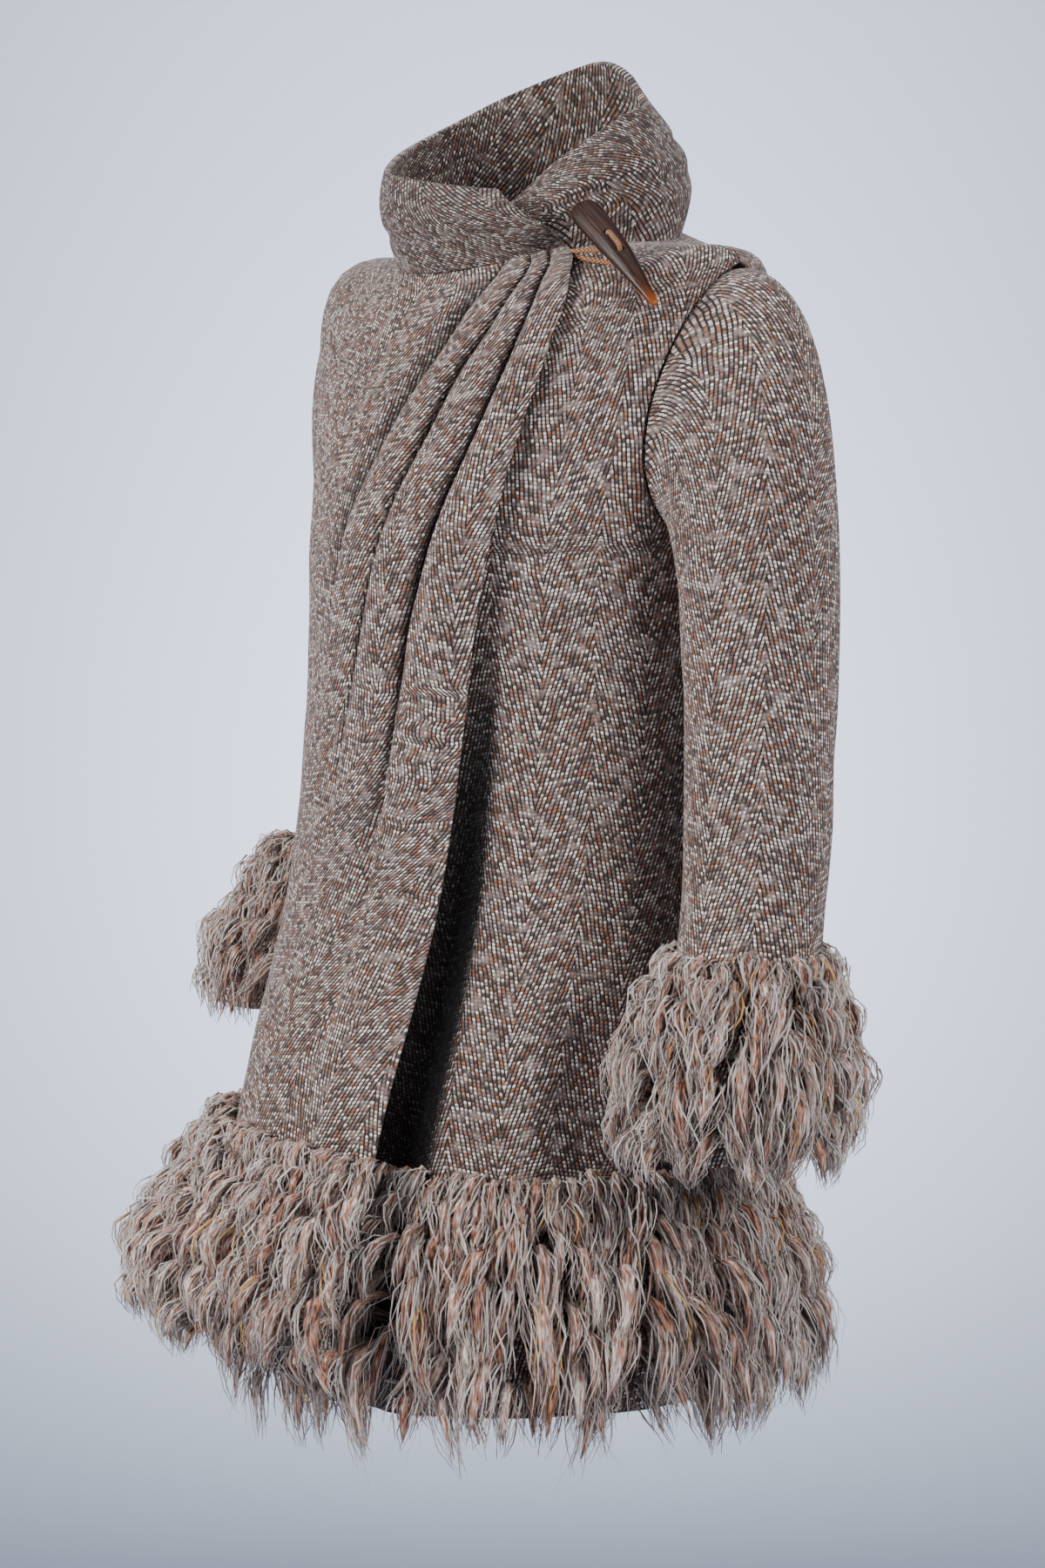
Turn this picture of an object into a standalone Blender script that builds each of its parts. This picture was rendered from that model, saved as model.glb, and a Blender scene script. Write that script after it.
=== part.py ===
"""Shaggy-trimmed wool coat in the form it has on a wearer, hollow, with open neck, hem, cuffs and armholes.

Metres, +Z up. The wearer faces -Y and the wearer's left is +X. The origin is the middle of the collar
seam, where neck and shoulders carry the coat. Panels are walls of tweed laid on one body form, which is
lofted through the rings in BODY_RINGS. A place on that form is an angle round the body, 0 at the front
and 90 at the wearer's left, and a level, which is the distance down from the collar seam.
"""
import math
from collections import namedtuple

import bmesh
import bpy
from mathutils import Vector

CLOTH = 0.003
COLLAR_CLOTH = 0.005
SEAM_GAP = 0.0003
SIDE_SEAM_GAP = 0.0017
PROBE = 0.001

SIDE_SEAM_ANGLE = 94.0
HEM_LEVEL = 0.795
ARMHOLE_TOP, ARMHOLE_BOTTOM = 0.095, 0.225
ARMHOLE_FRONT_SWING, ARMHOLE_BACK_SWING = 27.0, 25.0
ARM_SIDES = 14
SHOULDER_ROWS, SKIRT_ROWS = 5, 10
FRONT_LEFT_COLUMNS, BACK_COLUMNS = 14, 19

BodyRing = namedtuple(
    "BodyRing", "level z_front z_side z_back centre_x centre_y half_width front back")
BODY_RINGS = [
    BodyRing(0.000, -0.020, 0.001, 0.018, 0.000, 0.000, 0.098, 0.096, 0.092),
    BodyRing(0.040, -0.044, -0.003, -0.002, 0.000, 0.000, 0.138, 0.108, 0.106),
    BodyRing(0.090, -0.086, -0.013, -0.046, 0.000, 0.003, 0.184, 0.126, 0.116),
    BodyRing(0.150, -0.137, -0.106, -0.118, 0.000, 0.003, 0.177, 0.144, 0.124),
    BodyRing(0.220, -0.202, -0.200, -0.200, 0.000, 0.000, 0.166, 0.156, 0.132),
    BodyRing(0.340, -0.320, -0.320, -0.320, -0.002, -0.006, 0.165, 0.152, 0.139),
    BodyRing(0.460, -0.440, -0.440, -0.440, -0.006, -0.014, 0.168, 0.153, 0.146),
    BodyRing(0.580, -0.560, -0.560, -0.560, -0.012, -0.024, 0.178, 0.170, 0.155),
    BodyRing(0.640, -0.620, -0.620, -0.620, -0.015, -0.028, 0.185, 0.176, 0.161),
    BodyRing(0.800, -0.780, -0.780, -0.780, -0.018, -0.034, 0.204, 0.198, 0.172),
]

# The wrapped right front: the angles of its three pleat valleys and of its front edge, how high the
# rolls beside the valleys stand, and how far the panel's free half stands off the left front
WrapRow = namedtuple("WrapRow", "level pleat_1 pleat_2 pleat_3 edge roll_1 roll_2 roll_3 roll_4 stand_off")
WRAP_ROWS = [
    WrapRow(0.000, 34.0, 43.0, 50.0, 57.0, 0.000, 0.001, 0.001, 0.001, 0.0040),
    WrapRow(0.030, 27.0, 38.5, 45.0, 53.0, 0.003, 0.005, 0.005, 0.004, 0.0045),
    WrapRow(0.060, 17.0, 30.0, 38.0, 47.0, 0.005, 0.009, 0.009, 0.007, 0.0050),
    WrapRow(0.100, 9.0, 19.5, 30.5, 40.5, 0.005, 0.011, 0.012, 0.009, 0.0055),
    WrapRow(0.150, 2.0, 14.0, 26.0, 37.0, 0.003, 0.010, 0.013, 0.010, 0.0060),
    WrapRow(0.210, -6.0, 7.5, 20.5, 35.0, 0.001, 0.006, 0.012, 0.011, 0.0070),
    WrapRow(0.300, -14.0, 0.0, 14.5, 31.5, 0.000, 0.002, 0.006, 0.010, 0.0100),
    WrapRow(0.420, -19.0, -5.0, 10.5, 29.0, 0.000, 0.000, 0.002, 0.007, 0.0160),
    WrapRow(0.540, -22.0, -8.0, 8.0, 26.5, 0.000, 0.000, 0.000, 0.005, 0.0220),
    WrapRow(0.640, -24.0, -10.0, 6.0, 23.5, 0.000, 0.000, 0.000, 0.004, 0.0260),
    WrapRow(0.800, -26.0, -12.0, 4.0, 20.5, 0.000, 0.000, 0.000, 0.003, 0.0280),
]
STAND_OFF_STARTS, STAND_OFF_FULL = -50.0, 0.0
# The wrap pulls the right front's hem up: how far, by angle
HEM_RISE_ROWS = [(-94.0, 0.000), (-62.0, 0.026), (-38.0, 0.034), (0.0, 0.024), (36.0, 0.012)]
# The left front under the wrap: the angle of its own edge, and how deep it falls in behind the wrap
UnderRow = namedtuple("UnderRow", "level edge hollow")
UNDER_ROWS = [
    UnderRow(0.000, 8.0, 0.000),
    UnderRow(0.200, 0.0, 0.000),
    UnderRow(0.300, -4.0, 0.008),
    UnderRow(0.420, -6.0, 0.022),
    UnderRow(0.540, -8.0, 0.032),
    UnderRow(0.640, -9.0, 0.034),
    UnderRow(0.800, -10.0, 0.034),
]
HOLLOW_BEFORE_EDGE, HOLLOW_AFTER_EDGE = 3.0, 11.0

# Soft flutes that open towards the hem: the panel's own angle, the width of one flute and its height
Flute = namedtuple("Flute", "angle half_width height")
FLUTES = {
    "front_left": [Flute(54.0, 12.0, 0.007), Flute(76.0, 12.0, 0.006)],
    "front_right": [Flute(-72.0, 14.0, 0.007)],
    "back": [Flute(126.0, 16.0, 0.009), Flute(163.0, 17.0, 0.011), Flute(203.0, 17.0, 0.011),
             Flute(238.0, 15.0, 0.009)],
}
FLUTES_START, FLUTES_FULL = 0.250, 0.780

# One sleeve is a cap, drawn from the armhole out and down, and an arm through these sections
ArmRow = namedtuple("ArmRow", "z out forward half_out half_forward")
LEFT_ARM = [
    ArmRow(-0.235, 0.220, 0.006, 0.050, 0.056),
    ArmRow(-0.320, 0.231, 0.016, 0.048, 0.052),
    ArmRow(-0.410, 0.241, 0.029, 0.047, 0.049),
    ArmRow(-0.480, 0.248, 0.044, 0.046, 0.048),
    ArmRow(-0.540, 0.251, 0.056, 0.046, 0.048),
    ArmRow(-0.596, 0.253, 0.064, 0.047, 0.049),
]
RIGHT_ARM = [
    ArmRow(-0.235, 0.220, -0.052, 0.050, 0.056),
    ArmRow(-0.310, 0.236, -0.070, 0.048, 0.053),
    ArmRow(-0.385, 0.249, -0.062, 0.047, 0.051),
    ArmRow(-0.450, 0.256, -0.036, 0.046, 0.049),
    ArmRow(-0.505, 0.260, -0.009, 0.046, 0.049),
    ArmRow(-0.552, 0.263, 0.013, 0.047, 0.050),
]
CAP_STEPS = [0.0, 0.10, 0.25, 0.45, 0.65, 0.82, 1.0]
CAP_REACH_TOP, CAP_REACH_UNDERARM = 0.084, 0.004
CAP_DROP_UNDERARM = 0.012
CAP_PULL_FORWARD = 0.35
SLEEVE_SEAM_PUSH, SLEEVE_SEAM_SWING_LESS = 0.0003, 0.2
SLEEVE_ROWS_BELOW_CAP = 9

# The funnel collar, from its end under the wrap, round the back, to its pointed end over the wrap
CollarRow = namedtuple("CollarRow", "angle rim_z rim_radius middle_radius")
COLLAR_ROWS = [
    CollarRow(-4.0, 0.014, 0.088, 0.096),
    CollarRow(30.0, 0.024, 0.086, 0.098),
    CollarRow(55.0, 0.056, 0.088, 0.101),
    CollarRow(75.0, 0.076, 0.087, 0.103),
    CollarRow(95.0, 0.090, 0.083, 0.104),
    CollarRow(120.0, 0.097, 0.077, 0.103),
    CollarRow(145.0, 0.104, 0.072, 0.101),
    CollarRow(170.0, 0.122, 0.073, 0.099),
    CollarRow(195.0, 0.133, 0.082, 0.099),
    CollarRow(215.0, 0.128, 0.092, 0.101),
    CollarRow(240.0, 0.112, 0.101, 0.105),
    CollarRow(270.0, 0.086, 0.106, 0.108),
    CollarRow(315.0, 0.056, 0.107, 0.109),
    CollarRow(345.0, 0.046, 0.105, 0.109),
    CollarRow(375.0, 0.038, 0.101, 0.109),
    CollarRow(417.0, 0.030, 0.099, 0.109),
]
COLLAR_POINT_ANGLE, COLLAR_CORNER_ANGLE = 417.0, 392.0
COLLAR_STEPS_ROUND, COLLAR_STEPS_UP = 47, 6
COLLAR_OVERLAP_STARTS, COLLAR_OVERLAP_FULL = 305.0, 350.0
COLLAR_OVERLAP_RISE, COLLAR_OVERLAP_LIFT = 0.0070, 0.0062
COLLAR_UNDER_ENDS, COLLAR_UNDER_INSET = 70.0, 0.0016

# Fringe bands: tiers of yarn locks, each tier on its own narrow tape, so far above the cloth's edge.
# A lock is drawn through its sections: out from the cloth, down it, and shares of its column's width
HEM_TIERS = [0.158, 0.108, 0.058]
CUFF_TIERS = [0.132, 0.088, 0.044]
TAPE_DEPTH, TAPE_HEIGHT, TAPE_OFF_CLOTH, TAPE_END_TRIM = 0.003, 0.008, 0.0006, 0.12
LockSection = namedtuple("LockSection", "out down width thickness")
HEM_LOCK = [LockSection(0.014, 0.010, 0.86, 0.010), LockSection(0.027, 0.040, 0.92, 0.009),
            LockSection(0.031, 0.072, 0.36, 0.004)]
CUFF_LOCK = [LockSection(0.012, 0.008, 0.95, 0.009), LockSection(0.024, 0.032, 1.10, 0.008),
             LockSection(0.028, 0.058, 0.42, 0.004)]
LOCK_SWAY = 0.06
LOCK_UNEVEN = 0.05
# The side of a cuff that faces the body has flatter locks; a cuff is the sleeve's last rows
CUFF_INNER_FLATTEN, CUFF_ROWS = 0.50, 8

TOGGLE_TOP = Vector((0.1100, -0.0653, 0.0217))
TOGGLE_TIP = Vector((0.1816, -0.0647, -0.0439))
TOGGLE_BOW = 0.004
TOGGLE_ROWS = [(0.00, 0.0070), (0.04, 0.0098), (0.12, 0.0108), (0.30, 0.0102), (0.50, 0.0088),
               (0.70, 0.0066), (0.86, 0.0046), (0.96, 0.0032), (1.00, 0.0016)]
TOGGLE_FLATNESS = 0.72
TOGGLE_SIDES = 12
TOGGLE_HOLES_AT = [0.37, 0.53]
TOGGLE_HOLE_RADIUS, DRILL_LENGTH = 0.0026, 0.05
# The loop: its cord's radius, and how its route lies about the toggle
LOOP_RADIUS = 0.0017
LOOP_BEVEL_RESOLUTION = 2
LOOP_STRANDS_APART = 0.0039
LOOP_BEHIND_TOGGLE, LOOP_OVER_TOGGLE, LOOP_TURN_IN = 0.0028, 0.0010, 0.0020
LOOP_STRAND_STEPS = [0.45, 0.80, 1.0]
LOOP_START_OFF_WRAP = Vector((0.0050, -0.0046, -0.0030))

Finish = namedtuple("Finish", "name colour roughness metallic")
TWEED = Finish("tweed", (0.23, 0.18, 0.16), 0.95, 0.0)
FRINGE = Finish("fringe_yarn", (0.52, 0.41, 0.36), 0.90, 0.0)
HORN = Finish("horn", (0.09, 0.035, 0.02), 0.25, 0.0)
CORD = Finish("loop_cord", (0.55, 0.22, 0.07), 0.6, 0.0)


def clear_scene():
    for thing in list(bpy.data.objects):
        bpy.data.objects.remove(thing, do_unlink=True)


def material(finish):
    found = bpy.data.materials.get(finish.name)
    if found:
        return found
    made = bpy.data.materials.new(finish.name)
    made.use_nodes = True
    shader = made.node_tree.nodes["Principled BSDF"]
    shader.inputs["Base Color"].default_value = (*finish.colour, 1.0)
    shader.inputs["Roughness"].default_value = finish.roughness
    shader.inputs["Metallic"].default_value = finish.metallic
    return made


def smooth_between(rows, at):
    """The values of a table at a place between its rows, on one smooth curve through them."""
    keys = [row[0] for row in rows]
    at = min(max(at, keys[0]), keys[-1])
    i = max(0, min(len(rows) - 2, sum(1 for key in keys if key <= at) - 1))
    span = keys[i + 1] - keys[i]
    t = (at - keys[i]) / span

    def slope(j, column):
        low, high = max(j - 1, 0), min(j + 1, len(rows) - 1)
        return (rows[high][column] - rows[low][column]) / (keys[high] - keys[low])

    values = [at]
    for column in range(1, len(rows[0])):
        start, end = rows[i][column], rows[i + 1][column]
        values.append(
            (2 * t**3 - 3 * t**2 + 1) * start + (t**3 - 2 * t**2 + t) * span * slope(i, column)
            + (3 * t**2 - 2 * t**3) * end + (t**3 - t**2) * span * slope(i + 1, column))
    return rows[0]._make(values) if hasattr(rows[0], "_make") else values


def ramp(low, high, value):
    t = min(max((value - low) / (high - low), 0.0), 1.0)
    return t * t * (3 - 2 * t)


def spread(low, high, count):
    return [low + (high - low) * i / (count - 1) for i in range(count)]


def body_point(angle, level):
    ring = smooth_between(BODY_RINGS, level)
    sine, cosine = math.sin(math.radians(angle)), math.cos(math.radians(angle))
    depth, z_end = (ring.front, ring.z_front) if cosine > 0 else (ring.back, ring.z_back)
    return Vector((ring.centre_x + ring.half_width * sine, ring.centre_y - depth * cosine,
                   ring.z_side * sine**2 + z_end * cosine**2))


def body_axes(angle, level):
    """Along the level, down the cloth and out of it."""
    top, low = max(level - PROBE, 0.0), min(level + PROBE, BODY_RINGS[-1].level)
    along = (body_point(angle + 1, level) - body_point(angle - 1, level)).normalized()
    down = (body_point(angle, low) - body_point(angle, top)).normalized()
    out = down.cross(along).normalized()
    return along, down, out


def flute_height(panel, angle, level):
    open_share = ramp(FLUTES_START, FLUTES_FULL, level)
    height = 0.0
    for flute in FLUTES[panel]:
        away = (angle - flute.angle) / flute.half_width
        if abs(away) < 1:
            height += flute.height * open_share * 0.5 * (1 + math.cos(math.pi * away))
    return height


def armhole_swing(level, half_angle):
    middle = (ARMHOLE_TOP + ARMHOLE_BOTTOM) / 2
    reach = (ARMHOLE_BOTTOM - ARMHOLE_TOP) / 2
    share = 1 - ((level - middle) / reach) ** 2
    return half_angle * math.sqrt(max(share, 0.0))


def seam_angle(level):
    """Half the gap of a side seam, as an angle round the body. The gap is wider outside than inside."""
    return math.degrees(0.5 * SIDE_SEAM_GAP / smooth_between(BODY_RINGS, level).front)


def panel_levels():
    """The levels of the panels' rows: even on shoulder and skirt, and closer at the armhole's ends."""
    middle = (ARMHOLE_TOP + ARMHOLE_BOTTOM) / 2
    reach = (ARMHOLE_BOTTOM - ARMHOLE_TOP) / 2
    turns = ARM_SIDES // 2
    armhole = [middle - reach * math.cos(math.pi * i / turns) for i in range(turns + 1)]
    shoulder = spread(0.0, ARMHOLE_TOP, SHOULDER_ROWS + 1)[:-1]
    skirt = spread(ARMHOLE_BOTTOM, HEM_LEVEL, SKIRT_ROWS + 1)[1:]
    return shoulder + armhole + skirt


def lifted(angle, level, height):
    return body_point(angle, level) + body_axes(angle, level)[2] * height


def underlap_edge(level):
    return smooth_between(UNDER_ROWS, level).edge


def front_left_height(angle, level):
    """The left front's flutes, and its fall into the hollow behind the wrap's edge."""
    wrap_edge = smooth_between(WRAP_ROWS, level).edge
    hollow = smooth_between(UNDER_ROWS, level).hollow
    under = 1 - ramp(wrap_edge - HOLLOW_BEFORE_EDGE, wrap_edge + HOLLOW_AFTER_EDGE, angle)
    return flute_height("front_left", angle, level) - hollow * under


def front_left_point(share, level):
    start = underlap_edge(level)
    end = SIDE_SEAM_ANGLE - armhole_swing(level, ARMHOLE_FRONT_SWING) - seam_angle(level)
    angle = start + (end - start) * share
    return lifted(angle, level, front_left_height(angle, level))


def back_point(share, level):
    start = SIDE_SEAM_ANGLE + armhole_swing(level, ARMHOLE_BACK_SWING) + seam_angle(level)
    angle = start + (360 - 2 * start) * share
    return lifted(angle, level, flute_height("back", angle, level))


# Columns of the right front: shares of the way between one fold line and the next, and the height of
# the roll there, so that a valley is sharp and a roll is round. Below the folds they turn even.
ROLL_PROFILE = [(0.00, 0.0), (0.14, 0.62), (0.40, 1.0), (0.70, 0.80)]
EDGE_PROFILE = [(0.00, 0.0), (0.12, 0.62), (0.35, 1.0), (0.60, 0.85), (0.82, 0.55), (1.00, 0.30)]
SIDE_PROFILE = [(0.00, 0.0), (0.20, 0.0), (0.40, 0.0), (0.60, 0.20), (0.76, 0.60), (0.90, 1.0)]
EVEN_FROM, EVEN_AT = 0.320, 0.600
FoldColumn = namedtuple("FoldColumn", "field share height number")


def wrap_columns():
    """Each column's fold field, 0 to 3, its share across that field, its roll height and its number."""
    profiles = [SIDE_PROFILE, ROLL_PROFILE, ROLL_PROFILE, EDGE_PROFILE]
    found = [(field, *point) for field, profile in enumerate(profiles) for point in profile]
    return [FoldColumn(*column, number) for number, column in enumerate(found)]


def front_right_place(column, level):
    """Angle and height above the body form of one column of the wrapped front."""
    row = smooth_between(WRAP_ROWS, level)
    side = -SIDE_SEAM_ANGLE + armhole_swing(level, ARMHOLE_FRONT_SWING) + seam_angle(level)
    lines = [side, row.pleat_1, row.pleat_2, row.pleat_3, row.edge]
    rolls = [row.roll_1, row.roll_2, row.roll_3, row.roll_4]
    start, end = lines[column.field], lines[column.field + 1]
    angle = start + (end - start) * column.share
    even = side + (row.edge - side) * column.number / (len(wrap_columns()) - 1)
    angle += (even - angle) * ramp(EVEN_FROM, EVEN_AT, level)
    lift = row.stand_off * ramp(STAND_OFF_STARTS, STAND_OFF_FULL, angle)
    lift += rolls[column.field] * column.height
    return angle, lift + flute_height("front_right", angle, level)


def hem_rise(angle, level):
    """How far the wrap pulls a point of the right front up, most at the hem."""
    return smooth_between(HEM_RISE_ROWS, angle)[1] * (level / HEM_LEVEL) ** 2


def front_right_point(column, level):
    angle, height = front_right_place(column, level)
    return lifted(angle, level - hem_rise(angle, level), height)


def add_object(name, mesh, finish):
    thing = bpy.data.objects.new(name, mesh)
    mesh.materials.append(material(finish))
    bpy.context.scene.collection.objects.link(thing)
    return thing


def cloth_wall(name, rows, thickness, finish, inside, closed=False):
    """A wall of cloth. rows hold the points of its outer face, and inside gives, for a point of that
    face, a point on the inner side of the cloth."""
    bm = bmesh.new()
    grid = [[bm.verts.new(point) for point in row] for row in rows]
    across = len(rows[0])
    for upper, lower in zip(grid, grid[1:]):
        for i in range(across if closed else across - 1):
            j = (i + 1) % across
            bm.faces.new((upper[i], lower[i], lower[j], upper[j]))
    bm.normal_update()
    facing = sum(face.normal.dot(face.calc_center_median() - inside(face.calc_center_median()))
                 for face in bm.faces)
    if facing < 0:
        bmesh.ops.reverse_faces(bm, faces=bm.faces)
    mesh = bpy.data.meshes.new(name)
    bm.to_mesh(mesh)
    bm.free()
    mesh.shade_smooth()
    thing = add_object(name, mesh, finish)
    wall = thing.modifiers.new("cloth", "SOLIDIFY")
    wall.thickness = thickness
    wall.offset = -1.0
    return thing


def body_axis_at(point):
    return Vector((0.0, 0.0, point.z - 0.05))


def panel_rows():
    """The points of each panel's outer face, row by row from the collar seam to the hem."""
    levels = panel_levels()
    left, back = spread(0, 1, FRONT_LEFT_COLUMNS + 1), spread(0, 1, BACK_COLUMNS + 1)
    return {
        "front_left": [[front_left_point(share, level) for share in left] for level in levels],
        "back": [[back_point(share, level) for share in back] for level in levels],
        "front_right": [[front_right_point(column, level) for column in wrap_columns()]
                        for level in levels],
    }


def make_panels():
    for name, rows in panel_rows().items():
        cloth_wall(name, rows, CLOTH, TWEED, body_axis_at)


def armhole_point(side, turn):
    """A point of the armhole's edge, on the body form, turn degrees from its top by way of the front."""
    middle = (ARMHOLE_TOP + ARMHOLE_BOTTOM) / 2
    reach = (ARMHOLE_BOTTOM - ARMHOLE_TOP) / 2 - 2 * SEAM_GAP
    level = middle - reach * math.cos(math.radians(turn))
    sine = math.sin(math.radians(turn))
    swing = (ARMHOLE_FRONT_SWING if sine > 0 else ARMHOLE_BACK_SWING) - SLEEVE_SEAM_SWING_LESS
    angle = SIDE_SEAM_ANGLE - swing * sine
    along, down, out = body_axes(angle, level)
    point = body_point(angle, level) + out * SLEEVE_SEAM_PUSH
    return Vector((side * point.x, point.y, point.z))


def arm_point(side, arm, turn, z):
    """A point of the sleeve below the cap. Turn 0 is the outer side of the arm and 90 its front."""
    rows = [(-row.z, row.out, row.forward, row.half_out, row.half_forward) for row in arm]
    out, forward, half_out, half_forward = smooth_between(rows, -z)[1:]
    sine, cosine = math.sin(math.radians(turn)), math.cos(math.radians(turn))
    return Vector((side * (out + half_out * cosine), -forward - half_forward * sine, z))


def sleeve_rows(side, arm):
    turns = [360 * i / ARM_SIDES for i in range(ARM_SIDES)]
    rows = []
    for step in CAP_STEPS:
        ring = []
        for turn in turns:
            start, end = armhole_point(side, turn), arm_point(side, arm, turn, arm[0].z)
            top_share = 0.5 * (1 + math.cos(math.radians(turn)))
            reach = CAP_REACH_UNDERARM + (CAP_REACH_TOP - CAP_REACH_UNDERARM) * top_share
            pull = start + Vector((side * reach, 0.0, -CAP_DROP_UNDERARM * (1 - top_share)))
            pull.y = start.y + (end.y - start.y) * CAP_PULL_FORWARD
            ring.append((1 - step) ** 2 * start + 2 * step * (1 - step) * pull + step**2 * end)
        rows.append(ring)
    for z in spread(arm[0].z, arm[-1].z, SLEEVE_ROWS_BELOW_CAP + 1)[1:]:
        rows.append([arm_point(side, arm, turn, z) for turn in turns])
    return rows


def make_sleeves():
    for name, side, arm in (("sleeve_left", 1, LEFT_ARM), ("sleeve_right", -1, RIGHT_ARM)):
        rows = sleeve_rows(side, arm)
        middles = [sum(ring, Vector()) / len(ring) for ring in rows]

        def inside(point, middles=middles):
            return min(middles, key=lambda middle: (middle - point).length)

        cloth_wall(name, rows, CLOTH, TWEED, inside, closed=True)


def collar_point(angle, height):
    """A point of the collar's outer face, from 0 at its seam to 1 at its rim."""
    row = smooth_between(COLLAR_ROWS, angle)
    foot = body_point(angle, 0.0)
    foot_radius = math.hypot(foot.x, foot.y)
    overlap = ramp(COLLAR_OVERLAP_STARTS, COLLAR_OVERLAP_FULL, angle)
    bulge = row.middle_radius - 0.5 * (foot_radius + row.rim_radius)
    radius = foot_radius + (row.rim_radius - foot_radius) * height
    radius += bulge * math.sin(math.pi * height) + COLLAR_OVERLAP_RISE * overlap
    radius -= COLLAR_UNDER_INSET * (1 - ramp(COLLAR_ROWS[0].angle, COLLAR_UNDER_ENDS, angle))
    foot_z = foot.z + 2 * SEAM_GAP + COLLAR_OVERLAP_LIFT * overlap
    z = foot_z + (row.rim_z - foot_z) * height
    turn = math.radians(angle)
    return Vector((radius * math.sin(turn), -radius * math.cos(turn), z))


def make_collar():
    """The collar's wall. Past the start of the overlap its columns close up towards its slanted end."""
    slant_from = COLLAR_OVERLAP_FULL
    rows = []
    for height in spread(1, 0, COLLAR_STEPS_UP + 1):
        end = COLLAR_POINT_ANGLE + (COLLAR_CORNER_ANGLE - COLLAR_POINT_ANGLE) * height
        ring = []
        for angle in spread(COLLAR_ROWS[0].angle, COLLAR_POINT_ANGLE, COLLAR_STEPS_ROUND + 1):
            if angle > slant_from:
                share = (angle - slant_from) / (COLLAR_POINT_ANGLE - slant_from)
                angle = slant_from + (end - slant_from) * share
            ring.append(collar_point(angle, height))
        rows.append(ring)
    cloth_wall("collar", rows, COLLAR_CLOTH, TWEED, body_axis_at)


def lock_change(index):
    """A steady but uneven share between -1 and 1, so that no two neighbouring locks are alike."""
    return math.sin(index * 2.399 + 0.7) * math.cos(index * 0.83)


def down_wall(rows, column, distance):
    """The point of a wall's outer face on one of its columns, at a distance up from its lower edge."""
    for upper, lower in zip(rows[-2::-1], rows[:0:-1]):
        length = (upper[column] - lower[column]).length
        if distance <= length:
            return lower[column] + (upper[column] - lower[column]) * distance / length
        distance -= length
    raise ValueError("the wall is too short for its fringe")


def tape_line(rows, distance, closed):
    """A line along a wall at a distance up from its lower edge, trimmed a little at open ends."""
    line = [down_wall(rows, column, distance) for column in range(len(rows[0]))]
    if not closed:
        line[0] = line[0] + (line[1] - line[0]) * TAPE_END_TRIM
        line[-1] = line[-1] + (line[-2] - line[-1]) * TAPE_END_TRIM
    return line


def fringe_tier(name, rows, above_edge, sections, inside, closed=False, squeeze=None):
    """One tier of locks on a wall, one lock to each of its columns, hanging from a narrow tape. The
    tape is made from the wall's points, moved out, and is one closed body with its locks."""
    top = tape_line(rows, above_edge, closed)
    low = tape_line(rows, above_edge - TAPE_HEIGHT, closed)
    count = len(top)
    bm = bmesh.new()
    tape = []
    for i in range(count):
        before, after = (i - 1, (i + 1) % count) if closed else (max(i - 1, 0), min(i + 1, count - 1))
        out = (top[after] - top[before]).cross(low[i] - top[i]).normalized()
        if out.dot(top[i] - inside(top[i])) < 0:
            out = -out
        near, far = out * TAPE_OFF_CLOTH, out * (TAPE_OFF_CLOTH + TAPE_DEPTH)
        tape.append([bm.verts.new(corner) for corner in
                     (top[i] + near, low[i] + near, low[i] + far, top[i] + far)])
    roots = []
    for i in range(count if closed else count - 1):
        here, there = tape[i], tape[(i + 1) % count]
        faces = [bm.faces.new((here[a], here[b], there[b], there[a]))
                 for a, b in ((0, 1), (1, 2), (2, 3), (3, 0))]
        roots.append((i, faces[2]))
    if not closed:
        bm.faces.new(list(reversed(tape[0])))
        bm.faces.new(tape[-1])
    bmesh.ops.recalc_face_normals(bm, faces=bm.faces)
    for i, face in roots:
        j = (i + 1) % count
        grow_lock(bm, face, top[j] - top[i], low[i] + low[j] - top[i] - top[j], sections,
                  lock_change(i + 5 * len(name)), squeeze((top[i] + top[j]) / 2) if squeeze else 1.0)
    mesh = bpy.data.meshes.new(name)
    bm.to_mesh(mesh)
    bm.free()
    mesh.shade_smooth()
    return add_object(name, mesh, FRINGE)


def grow_lock(bm, face, column, fall, sections, change, squeeze):
    """Draws a lock out of its root face: out from the cloth first, then down it to a soft tip."""
    along, down, width = column.normalized(), fall.normalized(), column.length
    out = face.normal.copy()
    middle = face.calc_center_median()
    before = middle.copy()
    for section in sections:
        face = bmesh.ops.extrude_discrete_faces(bm, faces=[face])["faces"][0]
        centre = middle + out * section.out * squeeze + down * section.down * (1 + LOCK_UNEVEN * change)
        centre += along * change * LOCK_SWAY * section.down
        across = (centre - before).cross(along).normalized()
        old_middle = face.calc_center_median()
        for vert in face.verts:
            offset = vert.co - old_middle
            sideways = math.copysign(width * section.width / 2, offset.dot(along))
            upward = math.copysign(section.thickness * squeeze / 2, offset.dot(across))
            vert.co = centre + along * sideways + across * upward
        before = centre


def make_hem_fringe():
    for panel, rows in panel_rows().items():
        for tier, above_edge in enumerate(HEM_TIERS, 1):
            fringe_tier(f"fringe_{panel}_{tier}", rows, above_edge, HEM_LOCK, body_axis_at)


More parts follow.
